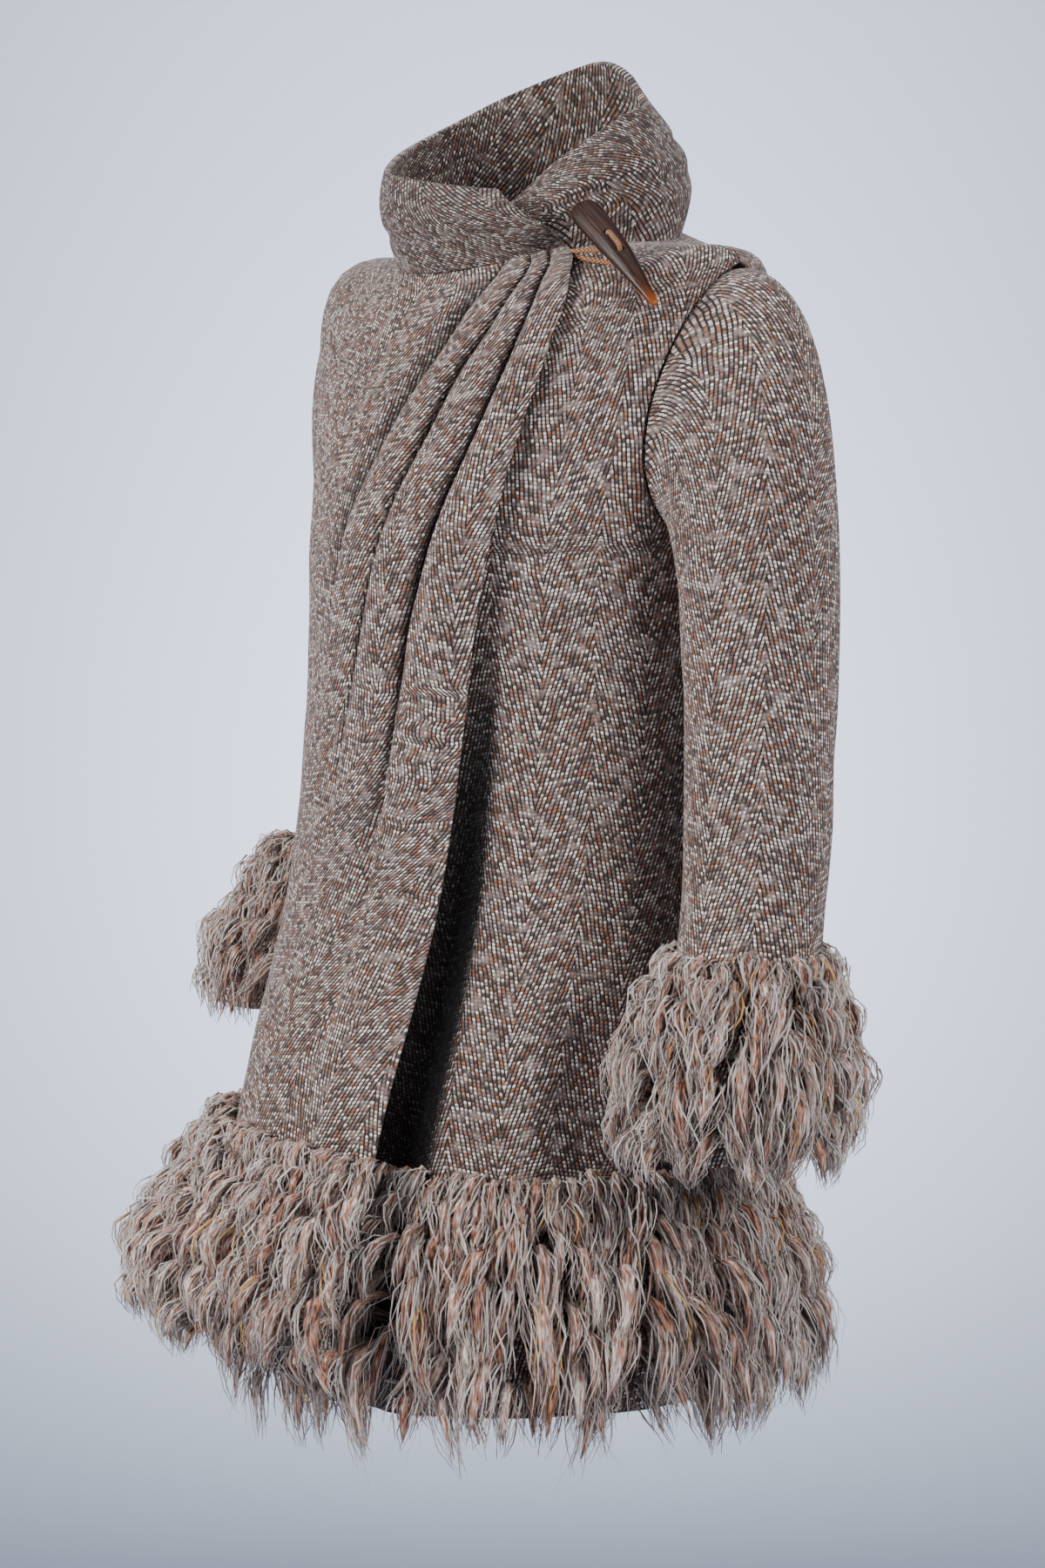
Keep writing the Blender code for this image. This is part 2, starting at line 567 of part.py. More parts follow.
def make_cuff_fringe():
    for name, side, arm in (("cuff_left", 1, LEFT_ARM), ("cuff_right", -1, RIGHT_ARM)):
        rows = sleeve_rows(side, arm)

        def inside(point, rows=rows):
            middles = [sum(ring, Vector()) / len(ring) for ring in rows[-CUFF_ROWS:]]
            return min(middles, key=lambda middle: (middle - point).length)

        def squeeze(point, side=side, inside=inside):
            towards_body = -side * (point - inside(point)).normalized().x
            return 1 - (1 - CUFF_INNER_FLATTEN) * ramp(-0.1, 0.9, towards_body)

        for tier, above_edge in enumerate(CUFF_TIERS, 1):
            fringe_tier(f"fringe_{name}_{tier}", rows, above_edge, CUFF_LOCK, inside, True, squeeze)


def toggle_axes():
    length = TOGGLE_TIP - TOGGLE_TOP
    direction = length.normalized()
    middle = (TOGGLE_TIP + TOGGLE_TOP) / 2
    out = Vector((middle.x, middle.y, 0.0)).normalized()
    out = (out - direction * out.dot(direction)).normalized()
    return direction, out, direction.cross(out).normalized(), length.length


def toggle_middle(share):
    direction, out, across, length = toggle_axes()
    return TOGGLE_TOP + direction * length * share + out * TOGGLE_BOW * math.sin(math.pi * share)


def make_toggle():
    """A bowed, tapering piece of horn, a little flat, with the two holes that take the loop."""
    direction, out, across, length = toggle_axes()
    bm = bmesh.new()
    rings = []
    for share, radius in TOGGLE_ROWS:
        ring = []
        for i in range(TOGGLE_SIDES):
            turn = 2 * math.pi * i / TOGGLE_SIDES
            offset = across * radius * math.cos(turn) + out * radius * TOGGLE_FLATNESS * math.sin(turn)
            ring.append(bm.verts.new(toggle_middle(share) + offset))
        rings.append(ring)
    for upper, lower in zip(rings, rings[1:]):
        for i in range(TOGGLE_SIDES):
            j = (i + 1) % TOGGLE_SIDES
            bm.faces.new((upper[i], upper[j], lower[j], lower[i]))
    bm.faces.new(rings[0])
    bm.faces.new(list(reversed(rings[-1])))
    bmesh.ops.recalc_face_normals(bm, faces=bm.faces)
    mesh = bpy.data.meshes.new("toggle")
    bm.to_mesh(mesh)
    bm.free()
    mesh.shade_smooth()
    toggle = add_object("toggle", mesh, HORN)
    for i, share in enumerate(TOGGLE_HOLES_AT):
        cut = toggle.modifiers.new(f"hole_{i}", "BOOLEAN")
        cut.operation = "DIFFERENCE"
        cut.object = drill(f"drill_{i}", toggle_middle(share), out)


def drill(name, place, direction):
    """A round cutter for one of the toggle's holes."""
    bm = bmesh.new()
    bmesh.ops.create_cone(bm, cap_ends=True, segments=TOGGLE_SIDES, radius1=TOGGLE_HOLE_RADIUS,
                          radius2=TOGGLE_HOLE_RADIUS, depth=DRILL_LENGTH)
    turn = direction.to_track_quat("Z", "Y").to_matrix().to_4x4()
    turn.translation = place
    bmesh.ops.transform(bm, matrix=turn, verts=bm.verts)
    mesh = bpy.data.meshes.new(name)
    bm.to_mesh(mesh)
    bm.free()
    cutter = bpy.data.objects.new(name, mesh)
    bpy.context.scene.collection.objects.link(cutter)
    cutter.hide_render = True
    cutter.display_type = "WIRE"
    return cutter


def loop_route():
    """The cord from the point of the wrap to the toggle, through its two holes and back."""
    direction, out, across, length = toggle_axes()
    start = collar_point(COLLAR_POINT_ANGLE, 0.0) + LOOP_START_OFF_WRAP
    apart = direction * LOOP_STRANDS_APART / 2
    thickness = TOGGLE_ROWS[2][1] * TOGGLE_FLATNESS
    behind = -out * (thickness + LOOP_BEHIND_TOGGLE)
    ahead = out * (thickness + LOOP_OVER_TOGGLE)
    first, second = (toggle_middle(share) for share in TOGGLE_HOLES_AT)
    inward = direction * LOOP_TURN_IN
    there = [start - apart]
    there += [(start - apart).lerp(first + behind, share) for share in LOOP_STRAND_STEPS]
    back = [(start + apart).lerp(second + behind, share) for share in reversed(LOOP_STRAND_STEPS)]
    through = [first + behind * 0.4, first + ahead * 0.6, first + ahead + inward,
               (first + second) / 2 + ahead * 1.05,
               second + ahead - inward, second + ahead * 0.6, second + behind * 0.4]
    return there + through + back + [start + apart]


def smooth_route(route, steps):
    """Points on one smooth curve through all the points of a route."""
    points = []
    for i in range(len(route) - 1):
        before, start, end = route[max(i - 1, 0)], route[i], route[i + 1]
        after = route[min(i + 2, len(route) - 1)]
        for t in spread(0, 1, steps + 1)[:-1]:
            points.append(0.5 * (2 * start + (end - before) * t
                                 + (2 * before - 5 * start + 4 * end - after) * t**2
                                 + (3 * start - before - 3 * end + after) * t**3))
    return points + [route[-1]]


def make_loop():
    points = smooth_route(loop_route(), 3)
    curve = bpy.data.curves.new("toggle_loop", "CURVE")
    curve.dimensions = "3D"
    curve.bevel_depth = LOOP_RADIUS
    curve.bevel_resolution = LOOP_BEVEL_RESOLUTION
    curve.use_fill_caps = True
    spline = curve.splines.new("POLY")
    spline.points.add(len(points) - 1)
    for vert, point in zip(spline.points, points):
        vert.co = (*point, 1.0)
    curve.materials.append(material(CORD))
    bpy.context.scene.collection.objects.link(bpy.data.objects.new("toggle_loop", curve))


def main():
    clear_scene()
    make_panels()
    make_sleeves()
    make_collar()
    make_hem_fringe()
    make_cuff_fringe()
    make_toggle()
    make_loop()


main()
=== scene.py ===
# %% [markdown]
# # A wool tweed coat with a yarn fringe
# The coat hangs as it does when it is worn. Its right front wraps over the left and is pulled into slanting
# pleats at the shoulder, a funnel collar closes with a horn toggle, and hem and cuffs carry a shaggy fringe.
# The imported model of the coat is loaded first. It fixes sizes and places, and each cell below then makes
# one piece or finish of the real coat in its place.

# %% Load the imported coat
import math
from collections import namedtuple

import bmesh
import bpy
import numpy as np
from mathutils import Matrix, Vector, noise


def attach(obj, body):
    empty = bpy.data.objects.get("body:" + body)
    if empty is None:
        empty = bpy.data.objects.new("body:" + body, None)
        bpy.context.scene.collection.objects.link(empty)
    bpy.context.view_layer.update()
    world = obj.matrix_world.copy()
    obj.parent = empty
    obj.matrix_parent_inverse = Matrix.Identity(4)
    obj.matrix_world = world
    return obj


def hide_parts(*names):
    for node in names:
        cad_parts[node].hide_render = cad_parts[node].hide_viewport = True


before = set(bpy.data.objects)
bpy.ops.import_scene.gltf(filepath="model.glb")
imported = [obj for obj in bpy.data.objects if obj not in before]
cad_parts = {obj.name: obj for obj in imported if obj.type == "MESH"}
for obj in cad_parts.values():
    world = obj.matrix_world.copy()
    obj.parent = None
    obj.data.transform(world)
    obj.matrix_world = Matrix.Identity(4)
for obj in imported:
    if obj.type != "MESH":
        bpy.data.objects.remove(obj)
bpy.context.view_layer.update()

print("nodes in the packed coat:", len(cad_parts))

# %% [markdown]
# ## The camera
# A photograph's viewpoint is found from what is level and what is symmetric: here the hem is seen almost
# edge on, and the coat is turned so that its left side faces us. A long lens from three metres keeps the
# sleeves' sizes alike. The camera is placed first, because every later choice of detail depends on it.

# %% Place the camera
VIEW_TURN, VIEW_RISE, VIEW_DISTANCE = math.radians(48), math.radians(5), 3.0
FRAME_HEIGHT = 1.098
AIM_SIDE, AIM_HEIGHT = -0.0134, -0.3735
SENSOR = 36.0


def link(name, data):
    """Puts new data into the scene as an object."""
    made = bpy.data.objects.new(name, data)
    bpy.context.scene.collection.objects.link(made)
    return made


def direction_to(turn, rise):
    """The direction to a place seen at a turn from the front and a rise over the horizon, in radians."""
    return Vector((math.sin(turn) * math.cos(rise), -math.cos(turn) * math.cos(rise), math.sin(rise)))


def make_camera():
    aim = Vector((AIM_SIDE * math.cos(VIEW_TURN), AIM_SIDE * math.sin(VIEW_TURN), AIM_HEIGHT))
    away = direction_to(VIEW_TURN, VIEW_RISE)
    data = bpy.data.cameras.new("camera")
    data.sensor_fit = "VERTICAL"
    data.sensor_height = SENSOR
    data.lens = SENSOR * VIEW_DISTANCE / FRAME_HEIGHT
    camera = link("camera", data)
    camera.location = aim + away * VIEW_DISTANCE
    camera.rotation_euler = away.to_track_quat("Z", "Y").to_euler()
    bpy.context.scene.camera = camera
    return camera


camera = make_camera()
print("lens in millimetres:", round(camera.data.lens, 1))

# %% [markdown]
# ## Floor and light
# A studio sweep is a floor that curves up into a wall, so that no line shows behind the coat. It is one
# strip of faces, extruded and bevelled. Two large soft lamps in front, weaker ones above and behind, and a
# pale surrounding light give the even, slightly cool light that shows cloth well.

# %% Make the sweep
FLOOR_HEIGHT, FLOOR_HALF_WIDTH, FLOOR_FRONT, FLOOR_BACK = -2.35, 9.0, 7.0, 6.6
WALL_HEIGHT, SWEEP_RADIUS, SWEEP_SEGMENTS = 8.5, 3.2, 24


def to_mesh(bm, name):
    """Writes a finished bmesh into a new mesh."""
    mesh = bpy.data.meshes.new(name)
    bm.to_mesh(mesh)
    bm.free()
    return mesh


def make_sweep():
    bm = bmesh.new()
    front = [bm.verts.new((x, -FLOOR_FRONT, FLOOR_HEIGHT)) for x in (-FLOOR_HALF_WIDTH, FLOOR_HALF_WIDTH)]
    edge = bm.edges.new(front)
    for step in ((0, FLOOR_FRONT + FLOOR_BACK, 0), (0, 0, WALL_HEIGHT)):
        made = bmesh.ops.extrude_edge_only(bm, edges=[edge])["geom"]
        bmesh.ops.translate(bm, vec=step, verts=[v for v in made if isinstance(v, bmesh.types.BMVert)])
        edge = [e for e in made if isinstance(e, bmesh.types.BMEdge) and len(e.link_faces) == 1
                and all(v in made for v in e.verts)][0]
    corner = [e for e in bm.edges if len(e.link_faces) == 2]
    bmesh.ops.bevel(bm, geom=corner, offset=SWEEP_RADIUS, segments=SWEEP_SEGMENTS, profile=0.5,
                    affect="EDGES", material=-1)
    bmesh.ops.rotate(bm, cent=(0, 0, 0), matrix=Matrix.Rotation(VIEW_TURN, 3, "Z"), verts=bm.verts)
    mesh = to_mesh(bm, "sweep")
    mesh.shade_smooth()
    return link("sweep", mesh)


sweep = make_sweep()
print("faces in the sweep:", len(sweep.data.polygons))

# %% Paint the sweep and light the scene
SWEEP_COLOUR, SWEEP_ROUGHNESS = (0.61, 0.665, 0.79, 1.0), 0.9
SURROUND_COLOUR, SURROUND_STRENGTH = (0.80, 0.87, 0.99, 1.0), 0.24
Lamp = namedtuple("Lamp", "name turn rise distance size power colour")
LAMPS = [
    Lamp("softbox_left", -16, 20, 2.7, 1.5, 96, (1.0, 0.98, 0.955)),
    Lamp("softbox_right", 90, 18, 2.8, 1.3, 64, (1.0, 0.98, 0.965)),
    Lamp("top_light", 48, 78, 2.6, 2.0, 20, (0.97, 0.98, 1.0)),
    Lamp("back_fill", 228, 25, 2.8, 1.5, 34, (0.97, 0.98, 1.0)),
    # This one stands behind the coat and faces away from the camera, to light the wall
    Lamp("backdrop_glow", 48, -3, -4.3, 1.0, 125, (0.92, 0.955, 1.0)),
]


def paint_sweep():
    paper = bpy.data.materials.new("sweep_paper")
    paper.use_nodes = True
    shader = paper.node_tree.nodes["Principled BSDF"]
    shader.inputs["Base Color"].default_value = SWEEP_COLOUR
    shader.inputs["Roughness"].default_value = SWEEP_ROUGHNESS
    sweep.data.materials.append(paper)


def hang_lamp(lamp):
    data = bpy.data.lights.new(lamp.name, "AREA")
    data.shape = "DISK"
    data.size = lamp.size
    data.energy = lamp.power
    data.color = lamp.colour
    towards = direction_to(math.radians(lamp.turn), math.radians(lamp.rise))
    light = link(lamp.name, data)
    light.location = Vector((0, 0, AIM_HEIGHT)) + towards * lamp.distance
    light.visible_camera = False
    light.rotation_euler = towards.to_track_quat("Z", "Y").to_euler()


paint_sweep()
for lamp in LAMPS:
    hang_lamp(lamp)
world = bpy.data.worlds.new("studio")
world.use_nodes = True
background = world.node_tree.nodes["Background"]
background.inputs["Color"].default_value = SURROUND_COLOUR
background.inputs["Strength"].default_value = SURROUND_STRENGTH
bpy.context.scene.world = world
print("lamps:", len(LAMPS))

# %% [markdown]
# ## The form that the coat hangs on
# The coat's form is a stack of rings: at each level down from the collar seam we know how wide and how deep
# the coat is, and how far the front, the sides and the back have dropped. A place on the form is then an
# angle round the coat and a level. Smooth curves through the table's rows give
# every place between them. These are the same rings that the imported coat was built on.

# %% Rings of the coat's form
BodyRing = namedtuple("BodyRing", "level z_front z_side z_back centre_x centre_y half_width front back")
BODY_RINGS = [
    BodyRing(0.000, -0.020, 0.001, 0.018, 0.000, 0.000, 0.098, 0.096, 0.092),
    BodyRing(0.040, -0.044, -0.003, -0.002, 0.000, 0.000, 0.138, 0.108, 0.106),
    BodyRing(0.090, -0.086, -0.013, -0.046, 0.000, 0.003, 0.184, 0.126, 0.116),
    BodyRing(0.150, -0.137, -0.106, -0.118, 0.000, 0.003, 0.177, 0.144, 0.124),
    BodyRing(0.220, -0.202, -0.200, -0.200, 0.000, 0.000, 0.166, 0.156, 0.132),
    BodyRing(0.340, -0.320, -0.320, -0.320, -0.002, -0.006, 0.165, 0.152, 0.139),
    BodyRing(0.460, -0.440, -0.440, -0.440, -0.006, -0.014, 0.168, 0.153, 0.146),
    BodyRing(0.580, -0.560, -0.560, -0.560, -0.012, -0.024, 0.178, 0.170, 0.155),
    BodyRing(0.640, -0.620, -0.620, -0.620, -0.015, -0.028, 0.185, 0.176, 0.161),
    BodyRing(0.800, -0.780, -0.780, -0.780, -0.018, -0.034, 0.204, 0.198, 0.172),
]
PROBE = 0.001


def ramp(low, high, value):
    """Rises smoothly from 0 at low to 1 at high."""
    t = min(max((value - low) / (high - low), 0.0), 1.0)
    return t * t * (3 - 2 * t)


def smooth_between(rows, at):
    """The values of a table at a place between its rows, on one smooth curve through them."""
    keys = [row[0] for row in rows]
    at = min(max(at, keys[0]), keys[-1])
    i = max(0, min(len(rows) - 2, sum(1 for key in keys if key <= at) - 1))
    span = keys[i + 1] - keys[i]
    t = (at - keys[i]) / span
    before, after = max(i - 1, 0), min(i + 2, len(rows) - 1)
    values = [at]
    for column in range(1, len(rows[0])):
        start, end = rows[i][column], rows[i + 1][column]
        start_slope = (end - rows[before][column]) / (keys[i + 1] - keys[before])
        end_slope = (rows[after][column] - start) / (keys[after] - keys[i])
        values.append((2 * t**3 - 3 * t**2 + 1) * start + (t**3 - 2 * t**2 + t) * span * start_slope
                      + (3 * t**2 - 2 * t**3) * end + (t**3 - t**2) * span * end_slope)
    return rows[0]._make(values) if hasattr(rows[0], "_make") else values


def body_point(angle, level):
    """The place on the form at an angle round the coat (0 front, 90 left, 180 back) and a level."""
    ring = smooth_between(BODY_RINGS, level)
    sine, cosine = math.sin(math.radians(angle)), math.cos(math.radians(angle))
    depth, z_end = (ring.front, ring.z_front) if cosine > 0 else (ring.back, ring.z_back)
    return Vector((ring.centre_x + ring.half_width * sine, ring.centre_y - depth * cosine,
                   ring.z_side * sine**2 + z_end * cosine**2))


def lifted(angle, level, height):
    """A place at a height over the form."""
    top, low = max(level - PROBE, 0.0), min(level + PROBE, BODY_RINGS[-1].level)
    along = body_point(angle + 1, level) - body_point(angle - 1, level)
    down = body_point(angle, low) - body_point(angle, top)
    return body_point(angle, level) + down.cross(along).normalized() * height


print("widest at the hem:", round(2 * BODY_RINGS[-1].half_width, 3), "metres")

# %% [markdown]
# ## Pleats, flutes and openings
# The wrap is held at one point on the left shoulder, so its folds fan out from there: three valleys and the
# front edge, each given by its angle at each level. Beside a valley the cloth stands up in a roll. Lower
# down, skirt flutes open towards the hem. Side seams sit just behind the middle of each side, and swing
# away round the armholes.

# %% Tables of the folds
WrapRow = namedtuple("WrapRow", "level pleat_1 pleat_2 pleat_3 edge roll_1 roll_2 roll_3 roll_4 stand_off")
WRAP_ROWS = [
    WrapRow(0.000, 34.0, 43.0, 50.0, 57.0, 0.000, 0.001, 0.001, 0.001, 0.0040),
    WrapRow(0.030, 27.0, 38.5, 45.0, 53.0, 0.003, 0.005, 0.005, 0.004, 0.0045),
    WrapRow(0.060, 17.0, 30.0, 38.0, 47.0, 0.005, 0.009, 0.009, 0.007, 0.0050),
    WrapRow(0.100, 9.0, 19.5, 30.5, 40.5, 0.005, 0.011, 0.012, 0.009, 0.0055),
    WrapRow(0.150, 2.0, 14.0, 26.0, 37.0, 0.003, 0.010, 0.013, 0.010, 0.0060),
    WrapRow(0.210, -6.0, 7.5, 20.5, 35.0, 0.001, 0.006, 0.012, 0.011, 0.0070),
    WrapRow(0.300, -14.0, 0.0, 14.5, 31.5, 0.000, 0.002, 0.006, 0.010, 0.0100),
    WrapRow(0.420, -19.0, -5.0, 10.5, 29.0, 0.000, 0.000, 0.002, 0.007, 0.0160),
    WrapRow(0.540, -22.0, -8.0, 8.0, 26.5, 0.000, 0.000, 0.000, 0.005, 0.0220),
    WrapRow(0.640, -24.0, -10.0, 6.0, 23.5, 0.000, 0.000, 0.000, 0.004, 0.0260),
    WrapRow(0.800, -26.0, -12.0, 4.0, 20.5, 0.000, 0.000, 0.000, 0.003, 0.0280),
]
STAND_OFF_STARTS, STAND_OFF_FULL = -50.0, 0.0
HEM_RISE_ROWS = [(-94.0, 0.000), (-62.0, 0.026), (-38.0, 0.034), (0.0, 0.024), (36.0, 0.012)]
UnderRow = namedtuple("UnderRow", "level edge hollow")
UNDER_ROWS = [
    UnderRow(0.000, 8.0, 0.000),
    UnderRow(0.200, 0.0, 0.000),
    UnderRow(0.300, -4.0, 0.008),
    UnderRow(0.420, -6.0, 0.022),
    UnderRow(0.540, -8.0, 0.032),
    UnderRow(0.640, -9.0, 0.034),
    UnderRow(0.800, -10.0, 0.034),
]
HOLLOW_BEFORE_EDGE, HOLLOW_AFTER_EDGE = 3.0, 11.0
Flute = namedtuple("Flute", "angle half_width height")
FLUTES = {
    "front_left": [Flute(54.0, 12.0, 0.007), Flute(76.0, 12.0, 0.006)],
    "front_right": [Flute(-72.0, 14.0, 0.007)],
    "back": [Flute(126.0, 16.0, 0.009), Flute(163.0, 17.0, 0.011), Flute(203.0, 17.0, 0.011),
             Flute(238.0, 15.0, 0.009)],
}
FLUTES_START, FLUTES_FULL = 0.250, 0.780
SIDE_SEAM_ANGLE, SIDE_SEAM_GAP, SEAM_GAP = 94.0, 0.0017, 0.0003
HEM_LEVEL = 0.795
ARMHOLE_TOP, ARMHOLE_BOTTOM = 0.095, 0.225
ARMHOLE_FRONT_SWING, ARMHOLE_BACK_SWING = 27.0, 25.0
print("pleat rows:", len(WRAP_ROWS), "flutes:", sum(len(some) for some in FLUTES.values()))


# %% Heights of the cloth over the form
def flute_height(panel, angle, level):
    """How far the skirt's flutes lift a panel at a place."""
    open_share = ramp(FLUTES_START, FLUTES_FULL, level)
    height = 0.0
    for flute in FLUTES[panel]:
        away = (angle - flute.angle) / flute.half_width
        if abs(away) < 1:
            height += flute.height * open_share * 0.5 * (1 + math.cos(math.pi * away))
    return height


def armhole_swing(level, half_angle):
    """How far the armhole's edge swings away from the middle of the side at a level."""
    middle, reach = (ARMHOLE_TOP + ARMHOLE_BOTTOM) / 2, (ARMHOLE_BOTTOM - ARMHOLE_TOP) / 2
    return half_angle * math.sqrt(max(1 - ((level - middle) / reach) ** 2, 0.0))


def side_edge(level, swing):
    """How far a panel's side edge stands from the middle of the side, as an angle."""
    gap = math.degrees(0.5 * SIDE_SEAM_GAP / smooth_between(BODY_RINGS, level).front)
    return armhole_swing(level, swing) + gap


def front_left_height(angle, level):
    """The left front's height over the form, which is hollow under the wrap."""
    wrap_edge = smooth_between(WRAP_ROWS, level).edge
    hollow = smooth_between(UNDER_ROWS, level).hollow
    under = 1 - ramp(wrap_edge - HOLLOW_BEFORE_EDGE, wrap_edge + HOLLOW_AFTER_EDGE, angle)
    return flute_height("front_left", angle, level) - hollow * under


# How a roll stands beside its valley: steep beside the deep fold, then easing to the next one
ROLL_SHAPE = [(0.00, -0.45), (0.04, 0.22), (0.12, 0.58), (0.34, 0.92),
              (0.62, 1.00), (0.84, 0.82), (0.95, 0.40), (1.00, -0.45)]
EDGE_SHAPE = [(0.00, -0.45), (0.04, 0.22), (0.12, 0.58), (0.34, 0.96),
              (0.60, 0.90), (0.82, 0.60), (1.00, 0.30)]
SIDE_SHAPE = [(0.00, 0.00), (0.40, 0.00), (0.60, 0.20), (0.76, 0.60),
              (0.90, 1.00), (0.96, 0.70), (0.985, 0.30), (1.00, -0.45)]


def front_right_height(angle, level):
    """The wrap's height over the form: how far it stands off, and the roll of the field it is in."""
    row = smooth_between(WRAP_ROWS, level)
    lines = [-SIDE_SEAM_ANGLE, row.pleat_1, row.pleat_2, row.pleat_3, row.edge]
    rolls = [row.roll_1, row.roll_2, row.roll_3, row.roll_4]
    shapes = [SIDE_SHAPE, ROLL_SHAPE, ROLL_SHAPE, EDGE_SHAPE]
    field = max(k for k in range(4) if angle >= lines[k] or k == 0)
    share = (angle - lines[field]) / (lines[field + 1] - lines[field])
    height = rolls[field] * smooth_between(shapes[field], share)[1]
    height += row.stand_off * ramp(STAND_OFF_STARTS, STAND_OFF_FULL, angle)
    return height + flute_height("front_right", angle, level)


def hem_rise(angle, level):
    """How far the wrap is drawn up towards its hem."""
    return smooth_between(HEM_RISE_ROWS, angle)[1] * (level / HEM_LEVEL) ** 2


print("deepest roll:", max(row.roll_3 for row in WRAP_ROWS), "metres")

# %% [markdown]
# ## A sheet of cloth with its grain
# Woven cloth is flat when it is cut, and its pattern follows the threads, not the room. So each sheet starts
# as a flat grid, gets moved into place point by point, and keeps a UV map that counts real metres across and
# down the cloth. The herringbone can then be drawn at its true size on every panel. Small even
# undulations keep the surface from looking like moulded plastic.

# %% Lay a grid of cloth on the form
CLOTH, COLLAR_CLOTH = 0.003, 0.005
UNEVEN_HEIGHT, UNEVEN_SCALE = 0.0011, 22.0


def wool_uneven(point):
    """The slight rise and fall of thick wool at one place."""
    return UNEVEN_HEIGHT * noise.noise(point * UNEVEN_SCALE)


def metres_across(points, grain_columns):
    """For each point of a grid, its distance along its row from where the grain line crosses the row."""
    steps = np.linalg.norm(np.diff(points, axis=1), axis=2)
    across = np.concatenate([np.zeros((len(points), 1)), np.cumsum(steps, axis=1)], axis=1)
    numbers = np.arange(points.shape[1])
    zero = np.array([np.interp(column, numbers, row) for column, row in zip(grain_columns, across)])
    return across - zero[:, None]


def metres_down(points, even_rows):
    """For each point of a grid, its distance down the cloth, which agrees along the bottom edge.

    With even rows all columns share one mean distance, otherwise each column keeps its own."""
    steps = np.linalg.norm(np.diff(points, axis=0), axis=2)
    if even_rows:
        steps = np.repeat(steps.mean(axis=1, keepdims=True), points.shape[1], axis=1)
    down = np.concatenate([np.zeros((1, points.shape[1])), np.cumsum(steps, axis=0)])
    return down - down[-1] + down[-1].mean()


def cloth_mesh(name, columns, rows, place, grain=lambda down: 0.5, closed=False, turn_grain=0.0, depth=None,
               cap_rows=0):
    """A grid of cloth whose points place(share across, share down) gives, with a UV map in metres."""
    points = np.array([[place(i / columns, j / rows) for i in range(columns + 1)] for j in range(rows + 1)])
    grain_columns = [grain(j / rows) * columns for j in range(rows + 1)]
    across, down = metres_across(points, grain_columns), metres_down(points, cap_rows == 0)
    # In a sleeve's cap the rows run aslant, so half of their distance comes from the first level row
    across[:cap_rows] = (across[:cap_rows] + across[cap_rows]) / 2
    bm = bmesh.new()
    cloth_uv = bm.loops.layers.uv.new("cloth_metres")
    # Each point's painted shade, given by depth, darkens the tweed in pleat valleys and beside the wrap's edge
    painted_fold_shade = bm.verts.layers.float.new("painted_fold_shade")
    bmesh.ops.create_grid(bm, x_segments=columns, y_segments=rows, size=0.5)
    cosine, sine = math.cos(turn_grain), math.sin(turn_grain)
    where = {vert: (round((0.5 - vert.co.y) * rows), round((vert.co.x + 0.5) * columns)) for vert in bm.verts}
    for face in bm.faces:
        for loop in face.loops:
            j, i = where[loop.vert]
            u, v = across[j, i], down[j, i]
            loop[cloth_uv].uv = (u * cosine - v * sine, u * sine + v * cosine)
    for vert, (j, i) in where.items():
        vert.co = points[j, i]
        vert[painted_fold_shade] = depth(i / columns, j / rows) if depth else 0.0
    if closed:
        bmesh.ops.remove_doubles(bm, verts=bm.verts, dist=1e-6)
    bm.normal_update()
    for vert in bm.verts:
        vert.co += vert.normal * wool_uneven(vert.co)
    mesh = to_mesh(bm, name)
    mesh.shade_smooth()
    return mesh, points


print("cloth is", CLOTH * 1000, "mm thick")

# %% [markdown]
# ## Giving the cloth its thickness
# A wall of cloth needs an outside and an inside. The grid's faces are turned to point outwards, and a
# Solidify modifier then adds the thickness inwards, so the outside keeps its size. A small bevel rounds the
# cut edges as thick wool does.

# %% Turn a grid into a wall
EDGE_ROUND, EDGE_SEGMENTS, EDGE_ANGLE = 0.0011, 2, math.radians(70)
panels = {}


def face_outwards(mesh, inside):
    """Turns all the faces round if most of them look at the inside point of their height."""
    outward = sum(poly.normal.dot(poly.center - inside(poly.center)) * poly.area for poly in mesh.polygons)
    if outward < 0:
        mesh.flip_normals()


def body_axis(point):
    """A place inside the coat for each point of its body."""
    return Vector((0.0, 0.0, point.z - 0.05))


def cloth_piece(name, mesh, inside, thickness=CLOTH):
    """A wall of cloth from a grid, with its thickness inwards and its cut edges rounded."""
    face_outwards(mesh, inside)
    piece = link(name, mesh)
    wall = piece.modifiers.new("thickness", "SOLIDIFY")
    wall.thickness = thickness
    wall.offset = -1.0
    rounded = piece.modifiers.new("edges", "BEVEL")
    rounded.width = EDGE_ROUND
    rounded.segments = EDGE_SEGMENTS
    rounded.limit_method = "ANGLE"
    rounded.angle_limit = EDGE_ANGLE
    return piece


print("cut edges are rounded by", EDGE_ROUND * 1000, "mm")

# %% [markdown]
# ## Left front, back and wrapped right front
# The two plain panels take evenly spaced columns from edge to edge. The wrap needs its columns close
# together in the valleys of the pleats and along its front edge, and even spacing lower down, so its columns
# are placed by fold first and blend to even ones below the folds.

# %% Cut the plain panels
FRONT_LEFT_GRID, BACK_GRID, WRAP_ROWS_DOWN = (64, 130), (76, 116), 140
LEFT_GRAIN_ANGLE, WRAP_GRAIN_SHARE = 47.0, 0.35
# Painted shade beside the wrap's edge, in degrees: its width at a level, how much it widens a metre, its soft
# edge
GAP_LEVEL, GAP_WIDTH, GAP_WIDENS, GAP_SOFT = 0.40, 5.0, 18.0, 2.5
GAP_STARTS, GAP_FULL = 0.26, 0.42


def level_at(share):
    return HEM_LEVEL * share


def front_left_edges(level):
    return smooth_between(UNDER_ROWS, level).edge, SIDE_SEAM_ANGLE - side_edge(level, ARMHOLE_FRONT_SWING)


def front_left_surface(angle, level):
    return lifted(angle, level, front_left_height(angle, level))


